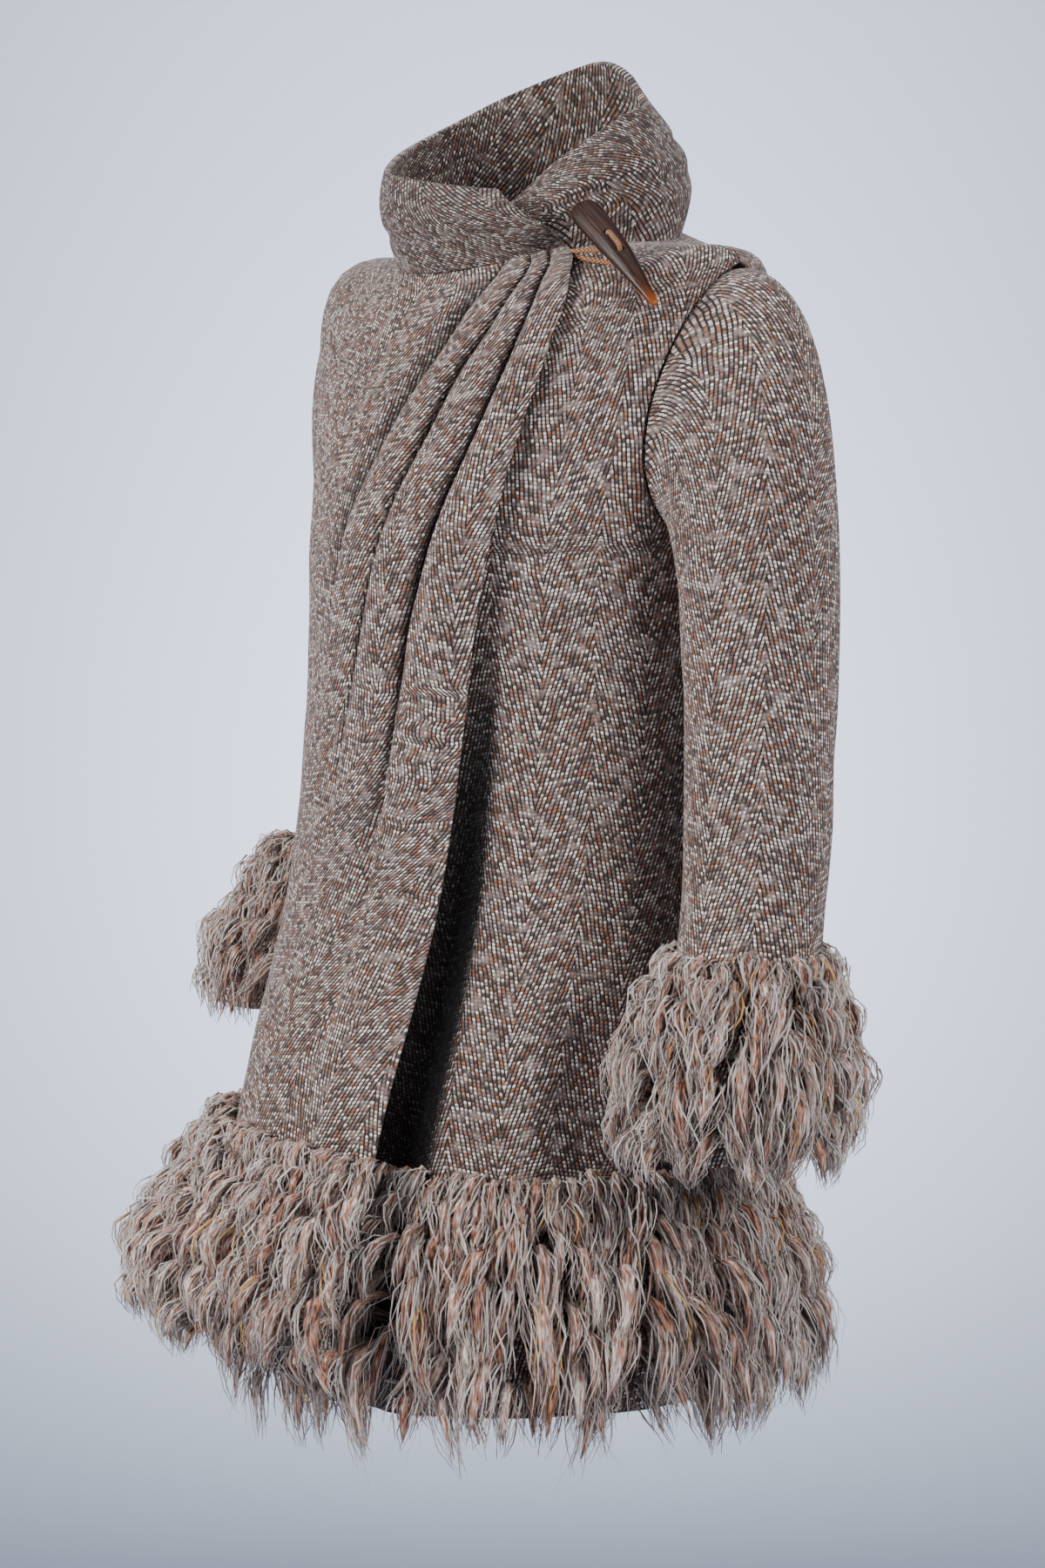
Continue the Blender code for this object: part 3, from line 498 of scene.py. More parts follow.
def back_edges(level):
    start = SIDE_SEAM_ANGLE + side_edge(level, ARMHOLE_BACK_SWING)
    return start, 360 - start


def back_surface(angle, level):
    return lifted(angle, level, flute_height("back", angle, level))


def even_place(surface, edges):
    """Places a grid evenly between a panel's two edges."""
    def place(across, down):
        start, end = edges(level_at(down))
        return surface(start + (end - start) * across, level_at(down))
    return place


def gap_painted_shade(across, down):
    """How much painted shade a place of the left front gets beside the wrap's edge, from 0 to 1."""
    level = level_at(down)
    start, end = front_left_edges(level)
    past = start + (end - start) * across - smooth_between(WRAP_ROWS, level).edge
    width = GAP_WIDTH + GAP_WIDENS * (level - GAP_LEVEL)
    return (1 - ramp(width - GAP_SOFT, width + GAP_SOFT, past)) * ramp(GAP_STARTS, GAP_FULL, level)


def left_grain(down):
    """The grain of the left front hangs straight down at one angle."""
    start, end = front_left_edges(level_at(down))
    return (LEFT_GRAIN_ANGLE - start) / (end - start)


left_mesh, panels["front_left"] = cloth_mesh(
    "left_front_cloth", *FRONT_LEFT_GRID, even_place(front_left_surface, front_left_edges), left_grain,
    depth=gap_painted_shade)
left_front = cloth_piece("left_front_cloth", left_mesh, body_axis)
back_mesh, panels["back"] = cloth_mesh("back_cloth", *BACK_GRID, even_place(back_surface, back_edges))
back_piece = cloth_piece("back_cloth", back_mesh, body_axis)
print("points in left front and back:", len(left_mesh.vertices), len(back_mesh.vertices))

# %% Wrap the right front
EVEN_FROM, EVEN_AT, VALLEYS_END = 0.320, 0.600, 0.500
VALLEY_SHARE, VALLEY_FROM_ROLL, VALLEY_FULL_ROLL = 0.085, 0.002, 0.007
FOLD_SHARES = [0.0, 0.02, 0.04, 0.08, 0.13, 0.20, 0.28, 0.38, 0.50, 0.62, 0.74, 0.84, 0.91, 0.95, 0.98]
SIDE_SHARES = [0.0, 0.08, 0.16, 0.24, 0.32, 0.40, 0.48, 0.54, 0.60, 0.66, 0.72, 0.77, 0.82, 0.86, 0.90, 0.93,
               0.96, 0.985, 0.993]


def fold_places():
    """Each column's fold field and its share across that field."""
    places = [(0, share) for share in SIDE_SHARES]
    for field in (1, 2, 3):
        places += [(field, share) for share in FOLD_SHARES]
    return places + [(3, 1.0)]


fold_columns = fold_places()


def front_right_edges(level):
    return (-SIDE_SEAM_ANGLE + side_edge(level, ARMHOLE_FRONT_SWING), smooth_between(WRAP_ROWS, level).edge)


def front_right_surface(angle, level):
    return lifted(angle, level - hem_rise(angle, level), front_right_height(angle, level))


def wrap_place(across, down):
    level = level_at(down)
    row = smooth_between(WRAP_ROWS, level)
    number = round(across * (len(fold_columns) - 1))
    field, share = fold_columns[number]
    start, end = front_right_edges(level)
    lines = [start, row.pleat_1, row.pleat_2, row.pleat_3, end]
    angle = lines[field] + (lines[field + 1] - lines[field]) * share
    even = start + (end - start) * number / (len(fold_columns) - 1)
    angle += (even - angle) * ramp(EVEN_FROM, EVEN_AT, level)
    return front_right_surface(angle, level)


def valley_painted_shade(across, down):
    """How much painted shade a column gets in a valley between two rolls, from 0 to 1, by how deep in the
    valley it lies.
    """
    row = smooth_between(WRAP_ROWS, level_at(down))
    field, share = fold_columns[round(across * (len(fold_columns) - 1))]
    rolls = [row.roll_1, row.roll_2, row.roll_3, row.roll_4]
    before = 1 - ramp(0.0, VALLEY_SHARE, share) if field > 0 else 0.0
    after = ramp(1 - VALLEY_SHARE, 1.0, share) if field < 3 else 0.0
    roll = max(rolls[max(field - 1 if before > after else field, 0)], rolls[min(field + (after > before), 3)])
    above = 1 - ramp(EVEN_FROM, VALLEYS_END, level_at(down))
    return max(before, after) * ramp(VALLEY_FROM_ROLL, VALLEY_FULL_ROLL, roll) * above


wrap_mesh, panels["front_right"] = cloth_mesh(
    "right_front_cloth", len(fold_columns) - 1, WRAP_ROWS_DOWN, wrap_place,
    lambda down: WRAP_GRAIN_SHARE, depth=valley_painted_shade)
right_front = cloth_piece("right_front_cloth", wrap_mesh, body_axis)
print("points in the wrapped front:", len(wrap_mesh.vertices))

# %% [markdown]
# ## Sleeves
# A set-in sleeve has a cap that springs from the armhole and turns down over the shoulder, and below it a
# tube down to the cuff. Each is one grid rolled into a tube: its columns run round the armhole and the
# tube, and its rows go down. The left sleeve hangs with a slight bend, and the right one is bent back.

# %% Tables of the sleeves
SleeveRow = namedtuple("SleeveRow", "z out forward half_out half_forward")
LEFT_SLEEVE = [
    SleeveRow(-0.235, 0.220, 0.006, 0.050, 0.056),
    SleeveRow(-0.320, 0.231, 0.016, 0.048, 0.052),
    SleeveRow(-0.410, 0.241, 0.029, 0.047, 0.049),
    SleeveRow(-0.480, 0.248, 0.044, 0.046, 0.048),
    SleeveRow(-0.540, 0.251, 0.056, 0.046, 0.048),
    SleeveRow(-0.596, 0.253, 0.064, 0.047, 0.049),
]
RIGHT_SLEEVE = [
    SleeveRow(-0.235, 0.220, -0.052, 0.050, 0.056),
    SleeveRow(-0.310, 0.236, -0.070, 0.048, 0.053),
    SleeveRow(-0.385, 0.249, -0.062, 0.047, 0.051),
    SleeveRow(-0.450, 0.256, -0.036, 0.046, 0.049),
    SleeveRow(-0.505, 0.260, -0.009, 0.046, 0.049),
    SleeveRow(-0.552, 0.263, 0.013, 0.047, 0.050),
]
CAP_SHARE, CAP_ROWS = 0.34, 38
CAP_REACH_TOP, CAP_REACH_UNDERARM = 0.084, 0.004
CAP_DROP_UNDERARM, CAP_PULL_FORWARD = 0.012, 0.35
SLEEVE_SEAM_PUSH, SLEEVE_SEAM_SWING_LESS = 0.0003, 0.2
SLEEVE_GRID = (64, 110)
print("sleeve tables:", len(LEFT_SLEEVE), "and", len(RIGHT_SLEEVE), "rows")


# %% Sew in the sleeves
def armhole_place(side, turn):
    """A point of the armhole's edge, turn degrees from its top by way of the front."""
    middle = (ARMHOLE_TOP + ARMHOLE_BOTTOM) / 2
    reach = (ARMHOLE_BOTTOM - ARMHOLE_TOP) / 2 - 2 * SEAM_GAP
    sine = math.sin(math.radians(turn))
    swing = (ARMHOLE_FRONT_SWING if sine > 0 else ARMHOLE_BACK_SWING) - SLEEVE_SEAM_SWING_LESS
    point = lifted(SIDE_SEAM_ANGLE - swing * sine, middle - reach * math.cos(math.radians(turn)),
                   SLEEVE_SEAM_PUSH)
    return Vector((side * point.x, point.y, point.z))


def tube_place(side, tube, turn, z):
    """A point of a sleeve's tube at a height, turn degrees from its outer side by way of the front."""
    rows = [(-row.z, row.out, row.forward, row.half_out, row.half_forward) for row in tube]
    out, forward, half_out, half_forward = smooth_between(rows, -z)[1:]
    sine, cosine = math.sin(math.radians(turn)), math.cos(math.radians(turn))
    return Vector((side * (out + half_out * cosine), -forward - half_forward * sine, z))


def sleeve_place(side, tube, around, down):
    """A place of a sleeve: the cap bends from the armhole into the tube's first row, and the tube follows."""
    turn = 360 * around
    if down > CAP_SHARE:
        share = (down - CAP_SHARE) / (1 - CAP_SHARE)
        return tube_place(side, tube, turn, tube[0].z + (tube[-1].z - tube[0].z) * share)
    step = down / CAP_SHARE
    start, end = armhole_place(side, turn), tube_place(side, tube, turn, tube[0].z)
    top_share = 0.5 * (1 + math.cos(math.radians(turn)))
    reach = CAP_REACH_UNDERARM + (CAP_REACH_TOP - CAP_REACH_UNDERARM) * top_share
    pull = start + Vector((side * reach, 0.0, -CAP_DROP_UNDERARM * (1 - top_share)))
    pull.y = start.y + (end.y - start.y) * CAP_PULL_FORWARD
    return (1 - step) ** 2 * start + 2 * step * (1 - step) * pull + step**2 * end


def tube_axis(side, tube):
    """Gives, for a point of a sleeve, the place on the tube's middle line just below it."""
    rows = [(-row.z, row.out, row.forward) for row in tube]

    def inside(point):
        out, forward = smooth_between(rows, -point.z)[1:]
        return Vector((side * out, -forward, point.z - 0.02))
    return inside


sleeves = {}
for name, side, tube in (("left", 1, LEFT_SLEEVE), ("right", -1, RIGHT_SLEEVE)):
    def place(around, down, side=side, tube=tube):
        return sleeve_place(side, tube, around, down)
    mesh, panels["sleeve_" + name] = cloth_mesh(f"{name}_sleeve_cloth", *SLEEVE_GRID, place,
                                                     lambda down: 0.0, closed=True, cap_rows=CAP_ROWS)
    sleeves[name] = cloth_piece(f"{name}_sleeve_cloth", mesh, tube_axis(side, tube))
    print(name, "sleeve points:", len(mesh.vertices))

# %% [markdown]
# ## The funnel collar
# The collar is one wide strip that starts under the wrap, stands up round the back of the opening and comes
# forward again over itself, where its end is cut at a slant. It widens like a funnel, so the table gives
# its rim's height and radius and how far its middle bulges. Its grain lies on the bias, turned a
# half right angle to the body's.

# %% Table of the collar
CollarRow = namedtuple("CollarRow", "angle rim_z rim_radius middle_radius")
COLLAR_ROWS = [
    CollarRow(-4.0, 0.014, 0.088, 0.096),
    CollarRow(30.0, 0.024, 0.086, 0.098),
    CollarRow(55.0, 0.056, 0.088, 0.101),
    CollarRow(75.0, 0.076, 0.087, 0.103),
    CollarRow(95.0, 0.090, 0.083, 0.104),
    CollarRow(120.0, 0.097, 0.077, 0.103),
    CollarRow(145.0, 0.104, 0.072, 0.101),
    CollarRow(170.0, 0.122, 0.073, 0.099),
    CollarRow(195.0, 0.133, 0.082, 0.099),
    CollarRow(215.0, 0.128, 0.092, 0.101),
    CollarRow(240.0, 0.112, 0.101, 0.105),
    CollarRow(270.0, 0.086, 0.106, 0.108),
    CollarRow(315.0, 0.056, 0.107, 0.109),
    CollarRow(345.0, 0.046, 0.105, 0.109),
    CollarRow(375.0, 0.038, 0.101, 0.109),
    CollarRow(417.0, 0.030, 0.099, 0.109),
]
COLLAR_POINT_ANGLE, COLLAR_CORNER_ANGLE = 417.0, 392.0
COLLAR_OVERLAP_STARTS, COLLAR_OVERLAP_FULL = 305.0, 350.0
COLLAR_OVERLAP_RISE, COLLAR_OVERLAP_LIFT = 0.0070, 0.0062
COLLAR_UNDER_ENDS, COLLAR_UNDER_INSET, COLLAR_SEAM_SINK = 70.0, 0.0016, 0.0075
CollarFold = namedtuple("CollarFold", "height angle half_angle half_height depth")
COLLAR_FOLDS = [
    CollarFold(0.46, 100.0, 62.0, 0.10, 0.0040),
    CollarFold(0.70, 128.0, 40.0, 0.07, 0.0030),
    CollarFold(0.30, 335.0, 60.0, 0.09, 0.0022),
    CollarFold(0.22, 190.0, 50.0, 0.10, 0.0030),
]
COLLAR_GRID, COLLAR_GRAIN, COLLAR_GRAIN_SHARE = (190, 40), math.radians(40), 0.45
print("collar rows:", len(COLLAR_ROWS), "creases:", len(COLLAR_FOLDS))


# %% Stand up the collar
def collar_crease(angle, height):
    """How far the collar's soft creases draw it in at a place."""
    depth = 0.0
    for fold in COLLAR_FOLDS:
        along, up = abs(angle - fold.angle) / fold.half_angle, abs(height - fold.height) / fold.half_height
        if along < 1 and up < 2:
            depth += fold.depth * (1 - along**2) ** 2 * math.exp(-(up**2) * 2)
    return depth


def collar_point(angle, height):
    """A point of the collar's outer face, from 0 at its seam to 1 at its rim."""
    row = smooth_between(COLLAR_ROWS, angle)
    foot = body_point(angle, 0.0)
    foot_radius = math.hypot(foot.x, foot.y)
    overlap = ramp(COLLAR_OVERLAP_STARTS, COLLAR_OVERLAP_FULL, angle)
    bulge = row.middle_radius - 0.5 * (foot_radius + row.rim_radius)
    radius = foot_radius + (row.rim_radius - foot_radius) * height
    radius += bulge * math.sin(math.pi * height) + COLLAR_OVERLAP_RISE * overlap
    radius -= COLLAR_UNDER_INSET * (1 - ramp(COLLAR_ROWS[0].angle, COLLAR_UNDER_ENDS, angle))
    radius -= collar_crease(angle, height)
    foot_z = foot.z + 2 * SEAM_GAP + COLLAR_OVERLAP_LIFT * overlap
    z = foot_z + (row.rim_z - foot_z) * height - COLLAR_SEAM_SINK * (1 - height) ** 6
    turn = math.radians(angle)
    return Vector((radius * math.sin(turn), -radius * math.cos(turn), z))


def collar_place(across, down):
    """Places the collar's grid. Its last columns lean over to the slanted end."""
    height = 1 - down
    angle = COLLAR_ROWS[0].angle + (COLLAR_POINT_ANGLE - COLLAR_ROWS[0].angle) * across
    if angle > COLLAR_OVERLAP_FULL:
        end = COLLAR_POINT_ANGLE + (COLLAR_CORNER_ANGLE - COLLAR_POINT_ANGLE) * height
        share = (angle - COLLAR_OVERLAP_FULL) / (COLLAR_POINT_ANGLE - COLLAR_OVERLAP_FULL)
        angle = COLLAR_OVERLAP_FULL + (end - COLLAR_OVERLAP_FULL) * share
    return collar_point(angle, height)


collar_sheet, panels["collar"] = cloth_mesh(
    "collar_cloth", *COLLAR_GRID, collar_place, lambda down: COLLAR_GRAIN_SHARE, turn_grain=COLLAR_GRAIN)
collar = cloth_piece("collar_cloth", collar_sheet, body_axis, COLLAR_CLOTH)
print("points in the collar:", len(collar_sheet.vertices))

# %% [markdown]
# ## Wiring a finish
# A material in Blender is a small network of nodes that ends in one shader. The networks below are long, so
# a short helper adds a node, plugs in what it is given and hands back its output. Numbers that stay the same
# all over a surface are set on the shader itself.

# %% A helper for materials
class Finish:
    """One material, whose nodes are added and linked by short calls."""

    def __init__(self, name, **shader_values):
        self.material = bpy.data.materials.new(name)
        self.material.use_nodes = True
        self.tree = self.material.node_tree
        self.shader = self.tree.nodes["Principled BSDF"]
        for socket, value in shader_values.items():
            self.shader.inputs[socket.replace("_", " ")].default_value = value

    def node(self, kind, *inputs, **settings):
        added = self.tree.nodes.new(kind)
        for setting, value in settings.items():
            setattr(added, setting, value)
        for socket, value in zip(added.inputs, inputs):
            if isinstance(value, bpy.types.NodeSocket):
                self.tree.links.new(value, socket)
            elif value is not None:
                socket.default_value = value
        return added

    def math(self, operation, *inputs):
        return self.node("ShaderNodeMath", *inputs, operation=operation).outputs[0]

    def smooth(self, value, low, high, start=0.0, end=1.0):
        return self.node("ShaderNodeMapRange", value, low, high, start, end,
                         interpolation_type="SMOOTHSTEP").outputs[0]

    def vector(self, x, y, z=0.0):
        return self.node("ShaderNodeCombineXYZ", x, y, z).outputs[0]

    def noise(self, place, scale, detail=2.0):
        return self.node("ShaderNodeTexNoise", place, None, scale, detail).outputs[0]

    def attribute(self, name):
        return self.node("ShaderNodeAttribute", attribute_name=name).outputs["Fac"]

    def colours(self, value, stops):
        ramp_node = self.node("ShaderNodeValToRGB", value)
        elements = ramp_node.color_ramp.elements
        while len(elements) < len(stops):
            elements.new(1.0)
        for element, (position, colour) in zip(elements, stops):
            element.position = position
            element.color = (*colour, 1.0)
        return ramp_node.outputs[0]

    def mix(self, share, first, second, blend="MIX"):
        added = self.node("ShaderNodeMix", data_type="RGBA", blend_type=blend)
        for index, value in ((0, share), (6, first), (7, second)):
            if isinstance(value, bpy.types.NodeSocket):
                self.tree.links.new(value, added.inputs[index])
            else:
                added.inputs[index].default_value = value if index == 0 else (*value, 1.0)
        return added.outputs[2]

    def finish(self, colour, height, bump_distance, bump_strength=1.0):
        self.tree.links.new(colour, self.shader.inputs["Base Color"])
        bump = self.node("ShaderNodeBump", bump_strength, bump_distance)
        self.tree.links.new(height, bump.inputs["Height"])
        self.tree.links.new(bump.outputs[0], self.shader.inputs["Normal"])
        return self.material


print("the finish helper is ready")

# %% [markdown]
# ## Herringbone tweed
# In a herringbone the twill lines climb one way in one band and the other way in the next. Here thick
# multicoloured yarn floats over black: each twill line is a column of short light dashes with a black gap
# beside it. The UV map is in metres, so the bands are folded with ping-pong, the lines and dashes are
# counted, and each dash draws its own colour. Brushed wool hazes the pattern in patches. Painted shade
# darkens the pleats' valleys and the gap beside the wrap's edge, besides the lamps' own shadow.

# %% Weave the tweed
BAND, TWILL_SLANT, LINE_PITCH, DASH_PITCH = 0.036, 0.27, 0.0029, 0.0026
GROUND_COLOUR, GAP_COLOUR, HAZE_COLOUR = (0.130, 0.085, 0.072), (0.003, 0.003, 0.003), (0.340, 0.280, 0.260)
DASH_COLOURS = [
    (0.00, (0.055, 0.036, 0.032)),
    (0.18, (0.090, 0.052, 0.042)),
    (0.25, (0.360, 0.125, 0.060)),
    (0.32, (0.260, 0.115, 0.075)),
    (0.40, (0.130, 0.120, 0.135)),
    (0.50, (0.300, 0.190, 0.160)),
    (0.60, (0.360, 0.305, 0.290)),
    (0.72, (0.560, 0.460, 0.410)),
    (0.86, (0.820, 0.740, 0.670)),
    (1.00, (0.960, 0.920, 0.870)),
]
LIGHT_ROW_SHARE, ROWS_BELOW_ZERO = 0.12, 4000.0
WANDER_SCALE, THREAD_WANDER, ROW_SHIFT, BUMP_DISTANCE = 55.0, 0.0024, 0.20, 0.0007
# A dash in its cell: its middle, its half size and how square it is, across and along the line
DashSize = namedtuple("DashSize", "middle half squareness")
DASH_ACROSS, DASH_ALONG = DashSize(0.65, 0.36, 4.0), DashSize(0.50, 0.40, 2.0)
SLUB_SCALE, SLUB_SHARE, SLUB_RELIEF = 520.0, 0.55, 0.8
SLUB_DARK, SLUB_LIGHT = (0.15, 0.13, 0.12), (1.0, 0.97, 0.95)
# The last number here is how much the painted shade in pleat valleys and beside the wrap's edge darkens the
# tweed
PATCH_SCALE, PATCH_FROM, PATCH_FULL, PATCH_LEAST, FOLD_PAINTED_SHADE = 95.0, 0.50, 0.76, 0.02, -0.90
HAZE, BODY_LIGHTNESS, COLLAR_LIGHTNESS = 0.62, 1.15, 0.74


def dash_edge(tweed, place, size):
    """How far a place in a cell lies from the dash's middle: 1 at its edge."""
    off = tweed.math("DIVIDE", tweed.math("SUBTRACT", place, size.middle), size.half)
    return tweed.math("POWER", off, size.squareness)


def weave_tweed(name, lightness):
    tweed = Finish(name, Roughness=0.95, Sheen_Weight=0.16, Sheen_Roughness=0.45)
    flat_cloth = tweed.node("ShaderNodeUVMap", uv_map="cloth_metres").outputs[0]
    wander = tweed.node("ShaderNodeTexNoise", flat_cloth, None, WANDER_SCALE, 1.0).outputs[1]
    wander = tweed.node("ShaderNodeVectorMath", wander, (0.5, 0.5, 0.5), operation="SUBTRACT").outputs[0]
    place = tweed.node("ShaderNodeVectorMath", wander, (THREAD_WANDER, THREAD_WANDER, 0.0), flat_cloth,
                       operation="MULTIPLY_ADD").outputs[0]
    parts = tweed.node("ShaderNodeSeparateXYZ", place).outputs
    across, down = parts[0], parts[1]
    folded = tweed.math("PINGPONG", across, BAND)
    lines = tweed.math("DIVIDE", tweed.math("MULTIPLY_ADD", down, TWILL_SLANT, folded), LINE_PITCH)
    line, in_line = tweed.math("FLOOR", lines), tweed.math("FRACT", lines)
    dashes = tweed.math("MULTIPLY_ADD", line, ROW_SHIFT, tweed.math("DIVIDE", down, DASH_PITCH))
    dash, in_dash = tweed.math("FLOOR", dashes), tweed.math("FRACT", dashes)
    band = tweed.math("FLOOR", tweed.math("DIVIDE", across, BAND))
    draw = tweed.node("ShaderNodeTexWhiteNoise", tweed.vector(line, dash, band)).outputs[0]
    light_row = tweed.math("MODULO", tweed.math("ADD", dash, ROWS_BELOW_ZERO), 2.0)
    light_row = tweed.math("MULTIPLY", light_row, LIGHT_ROW_SHARE)
    draw = tweed.math("MULTIPLY_ADD", draw, 1 - LIGHT_ROW_SHARE, light_row)
    sideways, lengthways = dash_edge(tweed, in_line, DASH_ACROSS), dash_edge(tweed, in_dash, DASH_ALONG)
    off_middle = tweed.math("ADD", sideways, lengthways)
    height = tweed.math("SUBTRACT", 1.0, off_middle)
    near_gap = tweed.math("PINGPONG", tweed.math("ADD", in_line, 1 - DASH_ACROSS.middle), 0.5)
    ground = tweed.mix(tweed.smooth(near_gap, 0.20, 0.32), GROUND_COLOUR, GAP_COLOUR)
    cover = tweed.math("MULTIPLY", tweed.smooth(height, -0.55, 0.45), tweed.smooth(near_gap, 0.38, 0.25))
    colour = tweed.mix(cover, ground, tweed.colours(draw, DASH_COLOURS))
    slub = tweed.noise(flat_cloth, SLUB_SCALE, 3.0)
    colour = tweed.mix(SLUB_SHARE, colour, tweed.mix(slub, SLUB_DARK, SLUB_LIGHT), "OVERLAY")
    patches = tweed.noise(flat_cloth, PATCH_SCALE, 4.0)
    patches = tweed.smooth(patches, PATCH_FROM, PATCH_FULL, PATCH_LEAST, HAZE)
    colour = tweed.mix(patches, colour, HAZE_COLOUR)
    # The tweed's lightness, less the painted shade in pleat valleys and beside the wrap's edge
    shade = tweed.math("MULTIPLY_ADD", tweed.attribute("painted_fold_shade"), FOLD_PAINTED_SHADE, lightness)
    colour = tweed.mix(1.0, colour, tweed.vector(shade, shade, shade), "MULTIPLY")
    relief = tweed.math("MULTIPLY_ADD", slub, SLUB_RELIEF, tweed.math("MAXIMUM", height, 0.0))
    return tweed.finish(colour, relief, BUMP_DISTANCE)


body_tweed = weave_tweed("body_tweed", BODY_LIGHTNESS)
collar_tweed = weave_tweed("collar_tweed", COLLAR_LIGHTNESS)
for cloth in (left_front, back_piece, right_front, *sleeves.values()):
    cloth.data.materials.append(body_tweed)
collar.data.materials.append(collar_tweed)
print("band", BAND * 1000, "mm, lines every", LINE_PITCH * 1000, "mm, dashes every", DASH_PITCH * 1000, "mm")

# %% [markdown]
# ## How a lock of the fringe is built
# The fringe is rows of cut yarn ends that have been brushed out into pointed locks. A lock is repeated
# more than a thousand times, so it has to be light: a core of six sides, and some twenty three-sided
# strands that follow it and stray at the tip. Both start as a circle that is extruded ring by ring, and
# arrays of numbers then bend the same small shape into every place.

# %% Extrude the core and the strand
TubePattern = namedtuple("TubePattern", "along turn faces")


def tube_pattern(sides, steps):
    """A closed tube of unit length, as each point's share along it, its angle round it, and the faces."""
    bm = bmesh.new()
    bmesh.ops.create_circle(bm, segments=sides, radius=1.0)
    ring = list(bm.edges)
    for _ in range(steps):
        made = bmesh.ops.extrude_edge_only(bm, edges=ring)["geom"]
        points = {thing for thing in made if isinstance(thing, bmesh.types.BMVert)}
        bmesh.ops.translate(bm, vec=(0, 0, 1 / steps), verts=list(points))
        edges = [thing for thing in made if isinstance(thing, bmesh.types.BMEdge)]
        ring = [edge for edge in edges if set(edge.verts) <= points]
    bmesh.ops.holes_fill(bm, edges=[edge for edge in bm.edges if edge.is_boundary], sides=sides)
    bmesh.ops.recalc_face_normals(bm, faces=bm.faces)
    bm.verts.index_update()
    along = np.array([vert.co.z for vert in bm.verts])
    turn = np.array([math.atan2(vert.co.y, vert.co.x) for vert in bm.verts])
    faces = [[vert.index for vert in face.verts] for face in bm.faces]
    bm.free()
    return TubePattern(along, turn, faces)


CORE, STRAND = tube_pattern(6, 5), tube_pattern(3, 4)
print("faces: core", len(CORE.faces), "strand", len(STRAND.faces))


# %% Join many bent tubes into one mesh
def bend_tubes(pattern, middle, radius, side, flat=1.0):
    """Points of a tube pattern round many middle lines: middle is tubes x rings x 3, radius tubes x rings."""
    rings = middle.shape[1]
    ahead = np.gradient(middle, axis=1)
    ahead /= np.linalg.norm(ahead, axis=2, keepdims=True)
    up = np.cross(ahead, side[:, None, :])
    up /= np.linalg.norm(up, axis=2, keepdims=True)
    level = np.cross(up, ahead)
    ring = np.rint(pattern.along * (rings - 1)).astype(int)
    cosine, sine = np.cos(pattern.turn)[None, :, None], np.sin(pattern.turn)[None, :, None]
    offset = level[:, ring] * cosine + up[:, ring] * sine * flat
    return middle[:, ring] + offset * radius[:, ring, None]


def join_tubes(name, parts):
    """One mesh from parts, each a pattern, the bent points and the attributes of its tubes' points."""
    places, faces, values, start = [], [], {"tone": [], "along": [], "turn": []}, 0
    for pattern, points, tone in parts:
        tubes, count = points.shape[0], points.shape[1]
        places.append(points.reshape(-1, 3))
        for tube in range(tubes):
            base = start + tube * count
            faces.extend([[base + corner for corner in face] for face in pattern.faces])
        values["tone"].append(np.repeat(tone, count))
        values["along"].append(np.tile(pattern.along, tubes))
        values["turn"].append(np.tile(pattern.turn / (2 * math.pi), tubes))
        start += tubes * count
    mesh = bpy.data.meshes.new(name)
    mesh.from_pydata(np.concatenate(places), [], faces)
    for key, lists in values.items():
        mesh.attributes.new(key, "FLOAT", "POINT").data.foreach_set("value", np.concatenate(lists))
    mesh.shade_smooth()
    return link(name, mesh)


print("tubes are joined point by point from arrays")

# %% [markdown]
# ## Where the locks are sewn
# The locks are sewn on in rows, each hanging over the next, from a hand's breadth above the cut edge down to
# it. A row is walked along the cloth and a lock is set at every step, a little out of line as hand work is.
# Locks are finer at the top and coarser at the hem, and they spring out of the cloth before they fall.

# %% Walk the rows
FringeRow = namedtuple("FringeRow", "height pitch length reach width")
HEM_FRINGE = [
    FringeRow(0.154, 0.0105, 0.040, 0.018, 0.0110),
    FringeRow(0.140, 0.0110, 0.046, 0.027, 0.0120),
    FringeRow(0.124, 0.0120, 0.050, 0.035, 0.0135),
    FringeRow(0.108, 0.0130, 0.053, 0.042, 0.0150),
    FringeRow(0.092, 0.0140, 0.055, 0.047, 0.0165),
    FringeRow(0.075, 0.0150, 0.057, 0.050, 0.0175),
    FringeRow(0.058, 0.0155, 0.058, 0.051, 0.0180),
    FringeRow(0.040, 0.0155, 0.053, 0.046, 0.0175),
    FringeRow(0.022, 0.0155, 0.036, 0.036, 0.0165),
]
CUFF_FRINGE = [
    FringeRow(0.129, 0.0100, 0.036, 0.014, 0.0105),
    FringeRow(0.115, 0.0105, 0.041, 0.021, 0.0115),
    FringeRow(0.100, 0.0110, 0.045, 0.027, 0.0130),
    FringeRow(0.085, 0.0115, 0.048, 0.031, 0.0140),
    FringeRow(0.069, 0.0120, 0.050, 0.033, 0.0150),
    FringeRow(0.052, 0.0120, 0.049, 0.033, 0.0155),
    FringeRow(0.035, 0.0120, 0.045, 0.030, 0.0150),
    FringeRow(0.018, 0.0120, 0.036, 0.024, 0.0140),
]
chance = np.random.default_rng(7)
PLACE_JITTER, HEIGHT_JITTER, PITCH_STRETCH = 0.28, 0.0035, 1.1
ROW_SAMPLES, ANGLE_PROBE, HEIGHT_PROBE = 120, 0.8, 0.004


